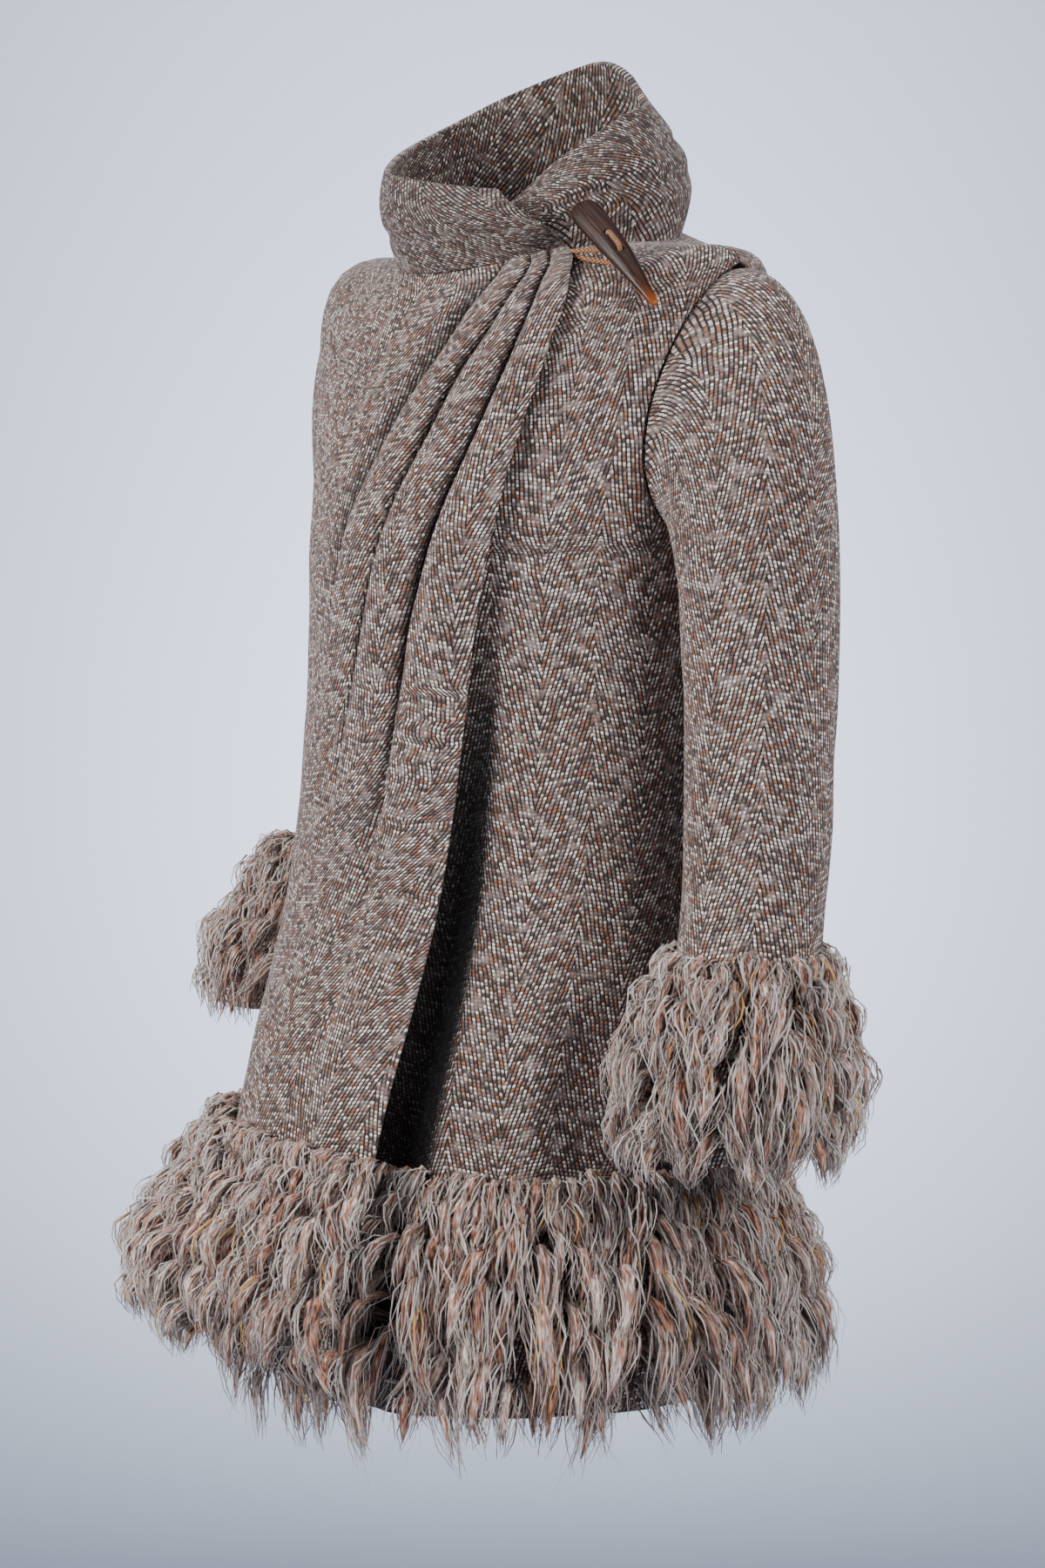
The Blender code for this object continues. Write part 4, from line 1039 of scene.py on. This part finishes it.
def walk_row(surface, start, end, row, bottom):
    """Lock roots along one row: origins and the directions along, out of and down the cloth."""
    height = row.height
    turns = np.linspace(start, end, ROW_SAMPLES)
    line = np.array([surface(turn, bottom - height) for turn in turns])
    walked = np.concatenate([[0.0], np.cumsum(np.linalg.norm(np.diff(line, axis=0), axis=1))])
    count = max(int(walked[-1] / row.pitch / PITCH_STRETCH), 2)
    steps = (np.arange(count) + 0.5 + chance.uniform(-PLACE_JITTER, PLACE_JITTER, count)) / count
    found = []
    for turn in np.interp(steps * walked[-1], walked, turns):
        low = bottom - height + chance.uniform(-HEIGHT_JITTER, HEIGHT_JITTER)
        origin = surface(turn, low)
        along = (surface(turn + ANGLE_PROBE, low) - surface(turn - ANGLE_PROBE, low)).normalized()
        down = (surface(turn, low + HEIGHT_PROBE) - surface(turn, low - HEIGHT_PROBE)).normalized()
        found.append((origin, along, down.cross(along).normalized(), down))
    return np.array(found)


print("rows on the hem and on a cuff:", len(HEM_FRINGE), len(CUFF_FRINGE))

# %% Shape the locks of one piece
STRANDS_PER_LOCK, HAIRS_PER_LOCK = 20, 2
CORE_SHAPE = [(0.0, 0.35), (0.17, 0.80), (0.33, 1.0), (0.55, 1.05), (0.72, 0.92), (0.88, 0.62), (1.0, 0.22)]
SPRING_SHARE, DROOP, ROOT_RISE = 0.62, 0.10, 0.16
# The cores' tones are darker than the strands': painted shade inside the locks
CORE_SHARE, CORE_END, CORE_TAPER, CORE_FLATNESS, CORE_SHADED_TONES = 0.54, 0.86, 0.9, 0.75, (0.22, 0.60)
LENGTHS, REACHES, WIDTHS, SWAY, ROOT_SINK = (0.74, 1.08), (0.70, 1.18), (0.85, 1.30), 0.24, 0.001
TO_FLOOR, FLOOR_SHARE, METAL_SHARE, WAVE = np.array([0.0, 0.0, -1.0]), 0.55, 0.018, 0.0030
# The second and third numbers here make strands deep in a lock and on its side towards the cloth darker:
# painted shade
LAYERS, LAYER_PAINTED_SHADE, CLOTH_SIDE_PAINTED_SHADE, TONES = (0.55, 1.30), 0.34, 0.10, (0.10, 1.02)
Stray = namedtuple("Stray", "count begins ends radius loose")
STRAND_KIND = Stray(STRANDS_PER_LOCK, (0.0, 0.45), (0.66, 1.04), 0.00078, 0.04)
HAIR_KIND = Stray(HAIRS_PER_LOCK, (0.1, 0.5), (0.8, 1.18), 0.00020, 0.20)


def lock_middle(locks, shares):
    """Points on the middle lines of locks at shares from root to tip (locks x shares)."""
    spring = 1 - (1 - np.clip(shares / SPRING_SHARE, 0, 1)) ** 2
    droop = DROOP * np.clip((shares - SPRING_SHARE) / (1 - SPRING_SHARE), 0, 2) ** 1.5
    fall = shares**1.35 - ROOT_RISE * np.sin(math.pi * np.clip(shares, 0, 1)) * (1 - shares) ** 2 * 3
    sway = np.clip(shares, 0, 2) ** 1.6
    outwards = locks["out"][:, None] * (locks["reach"][:, None] * (spring - droop))[..., None]
    downwards = locks["fall"][:, None] * (locks["length"][:, None] * fall)[..., None]
    sideways = locks["along"][:, None] * (locks["sway"][:, None] * sway)[..., None]
    return locks["origin"][:, None] + outwards + downwards + sideways


def lock_width(shares):
    return np.interp(shares, *zip(*CORE_SHAPE))


def gather_locks(rows_found, thickness):
    """Arrays with one entry a lock, from the walked rows with their sizes."""
    locks = {key: [] for key in ("origin", "along", "out", "fall", "length", "reach", "width", "sway")}
    for found, row in rows_found:
        count = len(found)
        down = found[:, 3] * (1 - FLOOR_SHARE) + TO_FLOOR * FLOOR_SHARE
        locks["origin"].append(found[:, 0] - found[:, 2] * ROOT_SINK)
        locks["along"].append(found[:, 1])
        locks["out"].append(found[:, 2])
        locks["fall"].append(down / np.linalg.norm(down, axis=1, keepdims=True))
        locks["length"].append(row.length * chance.uniform(*LENGTHS, count))
        locks["reach"].append(row.reach * thickness * chance.uniform(*REACHES, count))
        locks["width"].append(row.width * chance.uniform(*WIDTHS, count))
        locks["sway"].append(row.length * chance.normal(0.0, SWAY, count))
    return {key: np.concatenate(lists) for key, lists in locks.items()}


def stray_tubes(locks, kind):
    """Strands that follow their lock's surface, wave a little and leave it at the tip."""
    many = {key: np.repeat(values, kind.count, axis=0) for key, values in locks.items()}
    count = len(many["length"])
    start, stop = chance.uniform(*kind.begins, count), chance.uniform(*kind.ends, count)
    rings = len(np.unique(np.rint(STRAND.along * 100)))
    shares = start[:, None] + (stop - start)[:, None] * np.linspace(0, 1, rings)[None]
    middle = lock_middle(many, shares)
    turn = chance.uniform(0, 2 * math.pi, count)[:, None] + chance.normal(0, 0.9, (count, 1)) * shares
    layer = chance.uniform(*LAYERS, (count, 1))
    spread = lock_width(shares) * many["width"][:, None] * 0.5 * layer
    spread += np.clip(shares - 0.60, 0, 1) * many["length"][:, None] * kind.loose
    wave = np.sin(shares * chance.uniform(4, 10, (count, 1)) + chance.uniform(0, 6, (count, 1)))
    lift = np.sin(shares * chance.uniform(4, 9, (count, 1)) + chance.uniform(0, 6, (count, 1)))
    across = many["along"][:, None] * (np.cos(turn) * spread + wave * WAVE)[..., None]
    outward = many["out"][:, None] * (np.sin(turn) * spread * 0.8 + lift * WAVE)[..., None]
    taper = np.linspace(1, 0, rings)[None] ** 0.7 * 0.85 + 0.15
    size = kind.radius * chance.uniform(0.55, 1.45, (count, 1)) * taper
    points = bend_tubes(STRAND, middle + across + outward, size, many["along"])
    # Painted shade: strands deeper in the lock and on its side towards the cloth get darker tones
    lightness = (layer[:, 0] - LAYERS[0]) / (LAYERS[1] - LAYERS[0]) * LAYER_PAINTED_SHADE
    lightness += CLOTH_SIDE_PAINTED_SHADE * np.sin(turn[:, 0]) + chance.uniform(*TONES, count)
    return STRAND, points, np.clip(lightness, 0.0, 1.0) * 0.96 + (chance.random(count) > 1 - METAL_SHARE) * 1.0


def lock_fringe(name, rows_found, thickness=1.0):
    """One piece of fringe: a core, strands and hairs for each lock root that the rows give."""
    locks = gather_locks(rows_found, thickness)
    count = len(locks["length"])
    shares = np.repeat(np.linspace(0, CORE_END, 6)[None], count, axis=0)
    radius = lock_width(shares) * locks["width"][:, None] * 0.5 * CORE_SHARE
    radius *= 1 - CORE_TAPER * (shares / CORE_END) ** 3
    cores = bend_tubes(CORE, lock_middle(locks, shares), radius, locks["along"], CORE_FLATNESS)
    parts = [(CORE, cores, chance.uniform(*CORE_SHADED_TONES, count)), stray_tubes(locks, STRAND_KIND),
             stray_tubes(locks, HAIR_KIND)]
    piece = join_tubes(name, parts)
    print(name, "locks:", count, "faces:", len(piece.data.polygons))
    return piece


print("strands to a lock:", STRANDS_PER_LOCK)

# %% Sew on the hem's fringe
# A row ends a little before its panel's edges, but runs over the wrap's front edge, in degrees
END_TRIM, WRAP_HANG, UPPER_ROWS = -0.6, 1.6, 4
# The wrap's fringe is trimmed a little shorter than the rest, and the left front's is longer
WRAP_FRINGE = [row._replace(length=row.length * 0.86) for row in HEM_FRINGE]
LEFT_FRINGE = [row._replace(length=row.length * 1.04) for row in HEM_FRINGE[:-2]]
LEFT_FRINGE += [HEM_FRINGE[-2]._replace(length=0.060), HEM_FRINGE[-1]._replace(length=0.052)]
HemPiece = namedtuple("HemPiece", "node name surface edges rows overhang thickness")
HEM_PIECES = [
    HemPiece("front_left", "left_front", front_left_surface, front_left_edges, LEFT_FRINGE, END_TRIM, 1.0),
    HemPiece("front_right", "right_front", front_right_surface, front_right_edges, WRAP_FRINGE, WRAP_HANG,
             1.1),
    HemPiece("back", "back", back_surface, back_edges, LEFT_FRINGE, END_TRIM, 0.82),
]


def hem_rows(hem):
    """Walks all the rows of one panel's fringe."""
    found = []
    for row in hem.rows:
        start, end = hem.edges(HEM_LEVEL - row.height)
        found.append((walk_row(hem.surface, start - END_TRIM, end + hem.overhang, row, HEM_LEVEL), row))
    return found


fringes = []
for hem in HEM_PIECES:
    rows_found = hem_rows(hem)
    upper = lock_fringe(hem.name + "_fringe_upper", rows_found[:UPPER_ROWS], hem.thickness)
    lower = lock_fringe(hem.name + "_fringe_lower", rows_found[UPPER_ROWS:], hem.thickness)
    fringes.append((upper, [f"fringe_{hem.node}_1"]))
    fringes.append((lower, [f"fringe_{hem.node}_2", f"fringe_{hem.node}_3"]))


# %% Sew on the cuffs' fringe
def cuff_rows(side, tube, rows):
    """Walks all the rows round one cuff."""
    def surface(turn, down):
        return tube_place(side, tube, side * -turn, -down)
    return [(walk_row(surface, 0, 360, row, -tube[-1].z), row) for row in rows]


CUFFS = [("left", 1, LEFT_SLEEVE, CUFF_FRINGE), ("right", -1, RIGHT_SLEEVE, CUFF_FRINGE[1:])]
for name, side, tube, rows in CUFFS:
    fringe = lock_fringe(name + "_cuff_fringe", cuff_rows(side, tube, rows))
    fringes.append((fringe, [f"fringe_cuff_{name}_{tier}" for tier in (1, 2, 3)]))

# %% [markdown]
# ## The colours of the fringe
# The yarn is spun from several shades: cream, pale pink, rust and brown, and here and there runs a metallic
# thread. Painted shade gives the cores, the strands deep inside a lock and those on its side towards the
# cloth darker shades than the outer strands. Each strand carries its own number as an attribute and
# changes its shade along its length, and the cores draw stripes of the same shades. Roots are darker,
# since little light gets in between the locks.

# %% Dye the yarn and paint shade at its roots
YARN_COLOURS = [
    (0.00, (0.040, 0.020, 0.015)),
    (0.14, (0.170, 0.062, 0.035)),
    (0.28, (0.470, 0.170, 0.085)),
    (0.38, (0.520, 0.270, 0.200)),
    (0.48, (0.300, 0.170, 0.140)),
    (0.58, (0.660, 0.490, 0.430)),
    (0.74, (0.900, 0.785, 0.720)),
    (1.00, (0.960, 0.900, 0.860)),
]
METAL_THREAD, METAL_FROM = (0.85, 0.52, 0.16), 0.99
STRIPES_ROUND, SPECKS_ALONG, SPECK_STRENGTH = 14.0, 7.0, 2.1
ROOT_LIGHT, ROOT_ENDS, FUZZ_DISTANCE = 0.50, 0.36, 0.0006


def dye_and_shade_yarn():
    yarn = Finish("fringe_yarn_dyed_and_shaded", Roughness=0.78, Sheen_Weight=0.30, Sheen_Roughness=0.45)
    tone, along, turn = yarn.attribute("tone"), yarn.attribute("along"), yarn.attribute("turn")
    metal = yarn.math("GREATER_THAN", tone, METAL_FROM)
    # Large steps by tone give each strand its own part of the noise
    stripe = yarn.vector(yarn.math("MULTIPLY_ADD", turn, STRIPES_ROUND, yarn.math("MULTIPLY", tone, 1730.0)),
                         yarn.math("MULTIPLY", along, SPECKS_ALONG), yarn.math("MULTIPLY", tone, 410.0))
    uneven = yarn.math("SUBTRACT", yarn.noise(stripe, 1.0, 2.0), 0.5)
    colour = yarn.colours(yarn.math("MULTIPLY_ADD", uneven, SPECK_STRENGTH, tone), YARN_COLOURS)
    colour = yarn.mix(metal, colour, METAL_THREAD)
    # Painted shade: the roots are darker
    light = yarn.smooth(along, 0.0, ROOT_ENDS, ROOT_LIGHT, 1.0)
    colour = yarn.mix(1.0, colour, yarn.vector(light, light, light), "MULTIPLY")
    yarn.tree.links.new(metal, yarn.shader.inputs["Metallic"])
    fuzz_place = yarn.vector(yarn.math("MULTIPLY", turn, 30.0), yarn.math("MULTIPLY", along, 6.0), tone)
    return yarn.finish(colour, yarn.noise(fuzz_place, 1.0), FUZZ_DISTANCE)


shaded_dyed_yarn = dye_and_shade_yarn()
for fringe, nodes in fringes:
    fringe.data.materials.append(shaded_dyed_yarn)
print("shades in the yarn:", len(YARN_COLOURS))

# %% [markdown]
# ## The horn toggle
# A toggle like this is sawn from a horn's tip, bowed and a little flat, then polished. A circle is extruded
# along the bow and each ring takes its width from the table. The two holes for the loop are cut with a
# boolean against short round drills, and a bevel wears their rims.

# %% Turn and drill the toggle
TOGGLE_TOP, TOGGLE_TIP = Vector((0.1100, -0.0653, 0.0217)), Vector((0.1816, -0.0647, -0.0439))
TOGGLE_BOW, TOGGLE_FLATNESS = 0.004, 0.72
TOGGLE_WIDTHS = [(0.0, 0.0052), (0.006, 0.0070), (0.02, 0.0086), (0.05, 0.0100), (0.12, 0.0108),
                 (0.30, 0.0102), (0.50, 0.0088), (0.70, 0.0066), (0.86, 0.0046), (0.96, 0.0032),
                 (0.99, 0.0023), (1.00, 0.0010)]
TOGGLE_SIDES, TOGGLE_STEPS, DRILL_SIDES = 32, 60, 24
RIM_ROUND, RIM_SEGMENTS, RIM_ANGLE = 0.0005, 3, math.radians(50)
TOGGLE_HOLES_AT, TOGGLE_HOLE_RADIUS, DRILL_LENGTH = (0.37, 0.53), 0.0026, 0.05


ToggleAxes = namedtuple("ToggleAxes", "direction out across length")


def toggle_axes():
    """The toggle's directions along, out of the coat and across, and its length."""
    length = TOGGLE_TIP - TOGGLE_TOP
    direction = length.normalized()
    middle = (TOGGLE_TIP + TOGGLE_TOP) / 2
    out = Vector((middle.x, middle.y, 0.0)).normalized()
    out = (out - direction * out.dot(direction)).normalized()
    return ToggleAxes(direction, out, direction.cross(out).normalized(), length.length)


def toggle_middle(share):
    """The place on the toggle's bowed middle line at a share of its length."""
    axes = toggle_axes()
    bow = axes.out * TOGGLE_BOW * math.sin(math.pi * share)
    return TOGGLE_TOP + axes.direction * axes.length * share + bow


def drill_mesh(share):
    bm = bmesh.new()
    bmesh.ops.create_cone(bm, cap_ends=True, segments=DRILL_SIDES, radius1=TOGGLE_HOLE_RADIUS,
                          radius2=TOGGLE_HOLE_RADIUS, depth=DRILL_LENGTH)
    turn = toggle_axes().out.to_track_quat("Z", "Y").to_matrix().to_4x4()
    turn.translation = toggle_middle(share)
    bmesh.ops.transform(bm, matrix=turn, verts=bm.verts)
    return to_mesh(bm, "drill")


def carve(piece, cutters):
    """Cuts the cutter meshes out of a piece, rounds its rims and keeps the result as its mesh."""
    drills = [link("drill", mesh) for mesh in cutters]
    for cutter in drills:
        cut = piece.modifiers.new("hole", "BOOLEAN")
        cut.object = cutter
    rim = piece.modifiers.new("rim", "BEVEL")
    rim.width = RIM_ROUND
    rim.segments = RIM_SEGMENTS
    rim.limit_method = "ANGLE"
    rim.angle_limit = RIM_ANGLE
    bpy.context.view_layer.update()
    carved = bpy.data.meshes.new_from_object(piece.evaluated_get(bpy.context.evaluated_depsgraph_get()))
    piece.modifiers.clear()
    piece.data = carved
    for cutter in drills:
        bpy.data.objects.remove(cutter)


def make_toggle():
    pattern = tube_pattern(TOGGLE_SIDES, TOGGLE_STEPS)
    shares = 0.5 - 0.5 * np.cos(np.linspace(0, math.pi, TOGGLE_STEPS + 1))
    middle = np.array([[toggle_middle(share) for share in shares]])
    radius = np.array([[smooth_between(TOGGLE_WIDTHS, share)[1] for share in shares]])
    points = bend_tubes(pattern, middle, radius, np.array([toggle_axes().across]), TOGGLE_FLATNESS)
    toggle = join_tubes("horn_toggle", [(pattern, points, np.zeros(1))])
    carve(toggle, [drill_mesh(share) for share in TOGGLE_HOLES_AT])
    toggle.data.shade_smooth()
    return toggle


toggle = make_toggle()
print("toggle length:", round(toggle_axes().length * 1000, 1), "mm, faces:", len(toggle.data.polygons))

# %% Polish the horn
HORN_COLOURS = [(0.34, (0.006, 0.003, 0.002)), (0.52, (0.028, 0.010, 0.006)), (0.72, (0.10, 0.035, 0.016))]
HORN_AMBER = (0.34, 0.085, 0.020)


def polish_horn():
    horn = Finish("polished_horn", Specular_IOR_Level=0.30)
    along, turn = horn.attribute("along"), horn.attribute("turn")
    grain_place = horn.vector(horn.math("MULTIPLY", turn, 34.0), horn.math("MULTIPLY", along, 3.0))
    grain = horn.noise(grain_place, 1.6, 4.0)
    colour = horn.colours(grain, HORN_COLOURS)
    tip = horn.smooth(horn.math("MULTIPLY_ADD", grain, 0.30, along), 0.86, 1.16)
    colour = horn.mix(tip, colour, HORN_AMBER)
    rough = horn.math("MULTIPLY_ADD", grain, 0.22, horn.smooth(along, 0.35, 0.80, 0.34, 0.10))
    horn.tree.links.new(rough, horn.shader.inputs["Roughness"])
    grooves = horn.math("MULTIPLY", grain, horn.smooth(along, 0.45, 0.85, 1.0, 0.15))
    return horn.finish(colour, grooves, 0.0006, 0.8)


toggle.data.materials.clear()
toggle.data.materials.append(polish_horn())
print("horn is polished")

# %% [markdown]
# ## The cord loop
# The loop leaves the slanted point of the wrap, passes down through one hole of the toggle and back through
# the other, and is sewn in at the same point. It is one smooth curve through a few places, with a
# round tube along it. The braid is drawn on it in diagonal turns, with a bump that rounds each yarn, and
# painted shade darkens the grooves between the yarns.

# %% Lay the loop
LOOP_RADIUS, LOOP_STRANDS_APART = 0.0017, 0.0039
LOOP_BEHIND_TOGGLE, LOOP_OVER_TOGGLE, LOOP_TURN_IN = 0.0028, 0.0010, 0.0020
LOOP_STRAND_STEPS = [0.45, 0.80, 1.0]
LOOP_START_OFF_WRAP = Vector((0.0050, -0.0046, -0.0030))
LOOP_SIDES, LOOP_STEPS_BETWEEN = 14, 9


def loop_route():
    """The places that the cord passes, from the wrap's point through both holes and back."""
    direction, out = toggle_axes().direction, toggle_axes().out
    start = collar_point(COLLAR_POINT_ANGLE, 0.0) + LOOP_START_OFF_WRAP
    apart = direction * LOOP_STRANDS_APART / 2
    thickness = max(width for share, width in TOGGLE_WIDTHS) * TOGGLE_FLATNESS
    behind = -out * (thickness + LOOP_BEHIND_TOGGLE)
    ahead = out * (thickness + LOOP_OVER_TOGGLE)
    first, second = (toggle_middle(share) for share in TOGGLE_HOLES_AT)
    inward = direction * LOOP_TURN_IN
    there = [start - apart]
    there += [(start - apart).lerp(first + behind, share) for share in LOOP_STRAND_STEPS]
    back = [(start + apart).lerp(second + behind, share) for share in reversed(LOOP_STRAND_STEPS)]
    through = [first + behind * 0.4, first + ahead * 0.6, first + ahead + inward,
               (first + second) / 2 + ahead * 1.05,
               second + ahead - inward, second + ahead * 0.6, second + behind * 0.4]
    return there + through + back + [start + apart]


def smooth_route(route, steps):
    """Points on one smooth curve through all the points of a route."""
    points = []
    for i in range(len(route) - 1):
        before, start, end = route[max(i - 1, 0)], route[i], route[i + 1]
        after = route[min(i + 2, len(route) - 1)]
        for step in range(steps):
            t = step / steps
            points.append(0.5 * (2 * start + (end - before) * t
                                 + (2 * before - 5 * start + 4 * end - after) * t**2
                                 + (3 * start - before - 3 * end + after) * t**3))
    return points + [route[-1]]


def make_loop():
    route = np.array([smooth_route(loop_route(), LOOP_STEPS_BETWEEN)])
    pattern = tube_pattern(LOOP_SIDES, route.shape[1] - 1)
    radius = np.full(route.shape[:2], LOOP_RADIUS)
    length = float(np.linalg.norm(np.diff(route[0], axis=0), axis=1).sum())
    points = bend_tubes(pattern, route, radius, np.array([toggle_axes().direction]))
    loop = join_tubes("cord_loop", [(pattern, points, np.zeros(1))])
    return loop, length


loop, LOOP_LENGTH = make_loop()
print("cord in the loop:", round(LOOP_LENGTH * 1000), "mm")


# %% Braid the cord
BRAID_TURNS, BRAID_STRANDS = 62.0, 4.0
# The cord's colours run from the painted shade of a groove to the crest of a yarn
CORD_COLOURS_SHADED_GROOVES = [(0.0, (0.11, 0.030, 0.008)), (0.45, (0.50, 0.185, 0.055)), (1.0, (0.74, 0.36, 0.15))]


def braid_cord():
    cord = Finish("braided_cord", Roughness=0.7, Sheen_Weight=0.2)
    along, turn = cord.attribute("along"), cord.attribute("turn")
    run = cord.math("MULTIPLY", along, BRAID_TURNS)
    one_way = cord.math("FRACT", cord.math("MULTIPLY_ADD", turn, BRAID_STRANDS, run))
    other_way = cord.math("FRACT", cord.math("MULTIPLY_ADD", turn, -BRAID_STRANDS, run))
    ridge = cord.math("MULTIPLY", cord.math("PINGPONG", one_way, 0.5), cord.math("PINGPONG", other_way, 0.5))
    height = cord.smooth(ridge, 0.0, 0.16)
    # The colour follows the braid's height, so the grooves are darker: painted shade
    return cord.finish(cord.colours(height, CORD_COLOURS_SHADED_GROOVES), height, 0.0004)


loop.data.materials.append(braid_cord())
print("braid turns:", BRAID_TURNS)

# %% [markdown]
# ## Which piece stands for which part
# Each piece now rides on the coat's one body and stands for the imported parts that it replaces, which are
# hidden. The size that each piece of cloth was cut to, laid flat, is worked out and printed: the panels as
# their pattern pieces, and the sleeves as the flat cut all round. The area leaves out what is cut away at the
# slants and armholes.

Part = namedtuple("Part", "piece nodes slot")
parts = [
    Part(left_front, ["front_left"], "tweed"),
    Part(right_front, ["front_right"], "tweed"),
    Part(back_piece, ["back"], "tweed"),
    Part(sleeves["left"], ["sleeve_left"], "tweed"),
    Part(sleeves["right"], ["sleeve_right"], "tweed"),
    Part(collar, ["collar"], "tweed"),
    Part(toggle, ["toggle"], "horn"),
    Part(loop, ["toggle_loop"], "loop_cord"),
]
parts += [Part(fringe, nodes, "fringe_yarn") for fringe, nodes in fringes]
for part in parts:
    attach(part.piece, "root")
    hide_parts(*part.nodes)
print("pieces:", len(parts))


# %% Work out the cloth's flat size
def flat_size(points):
    """The widest row, the longest column and the area of a grid of cloth, in metres."""
    rows = np.linalg.norm(np.diff(points, axis=1), axis=2).sum(axis=1)
    columns = np.linalg.norm(np.diff(points, axis=0), axis=2).sum(axis=0)
    one, other = points[1:, 1:] - points[:-1, :-1], points[1:, :-1] - points[:-1, 1:]
    area = 0.5 * np.linalg.norm(np.cross(one, other), axis=2).sum()
    return float(rows.max()), float(columns.max()), float(area)


cloth_pieces = {"front_left": left_front, "front_right": right_front, "back": back_piece,
                "sleeve_left": sleeves["left"], "sleeve_right": sleeves["right"], "collar": collar}
for name, piece in cloth_pieces.items():
    wide, long, area = flat_size(panels[name])
    print(name, "cut", round(wide, 3), "x", round(long, 3), "m, area", round(area, 3), "square metres")
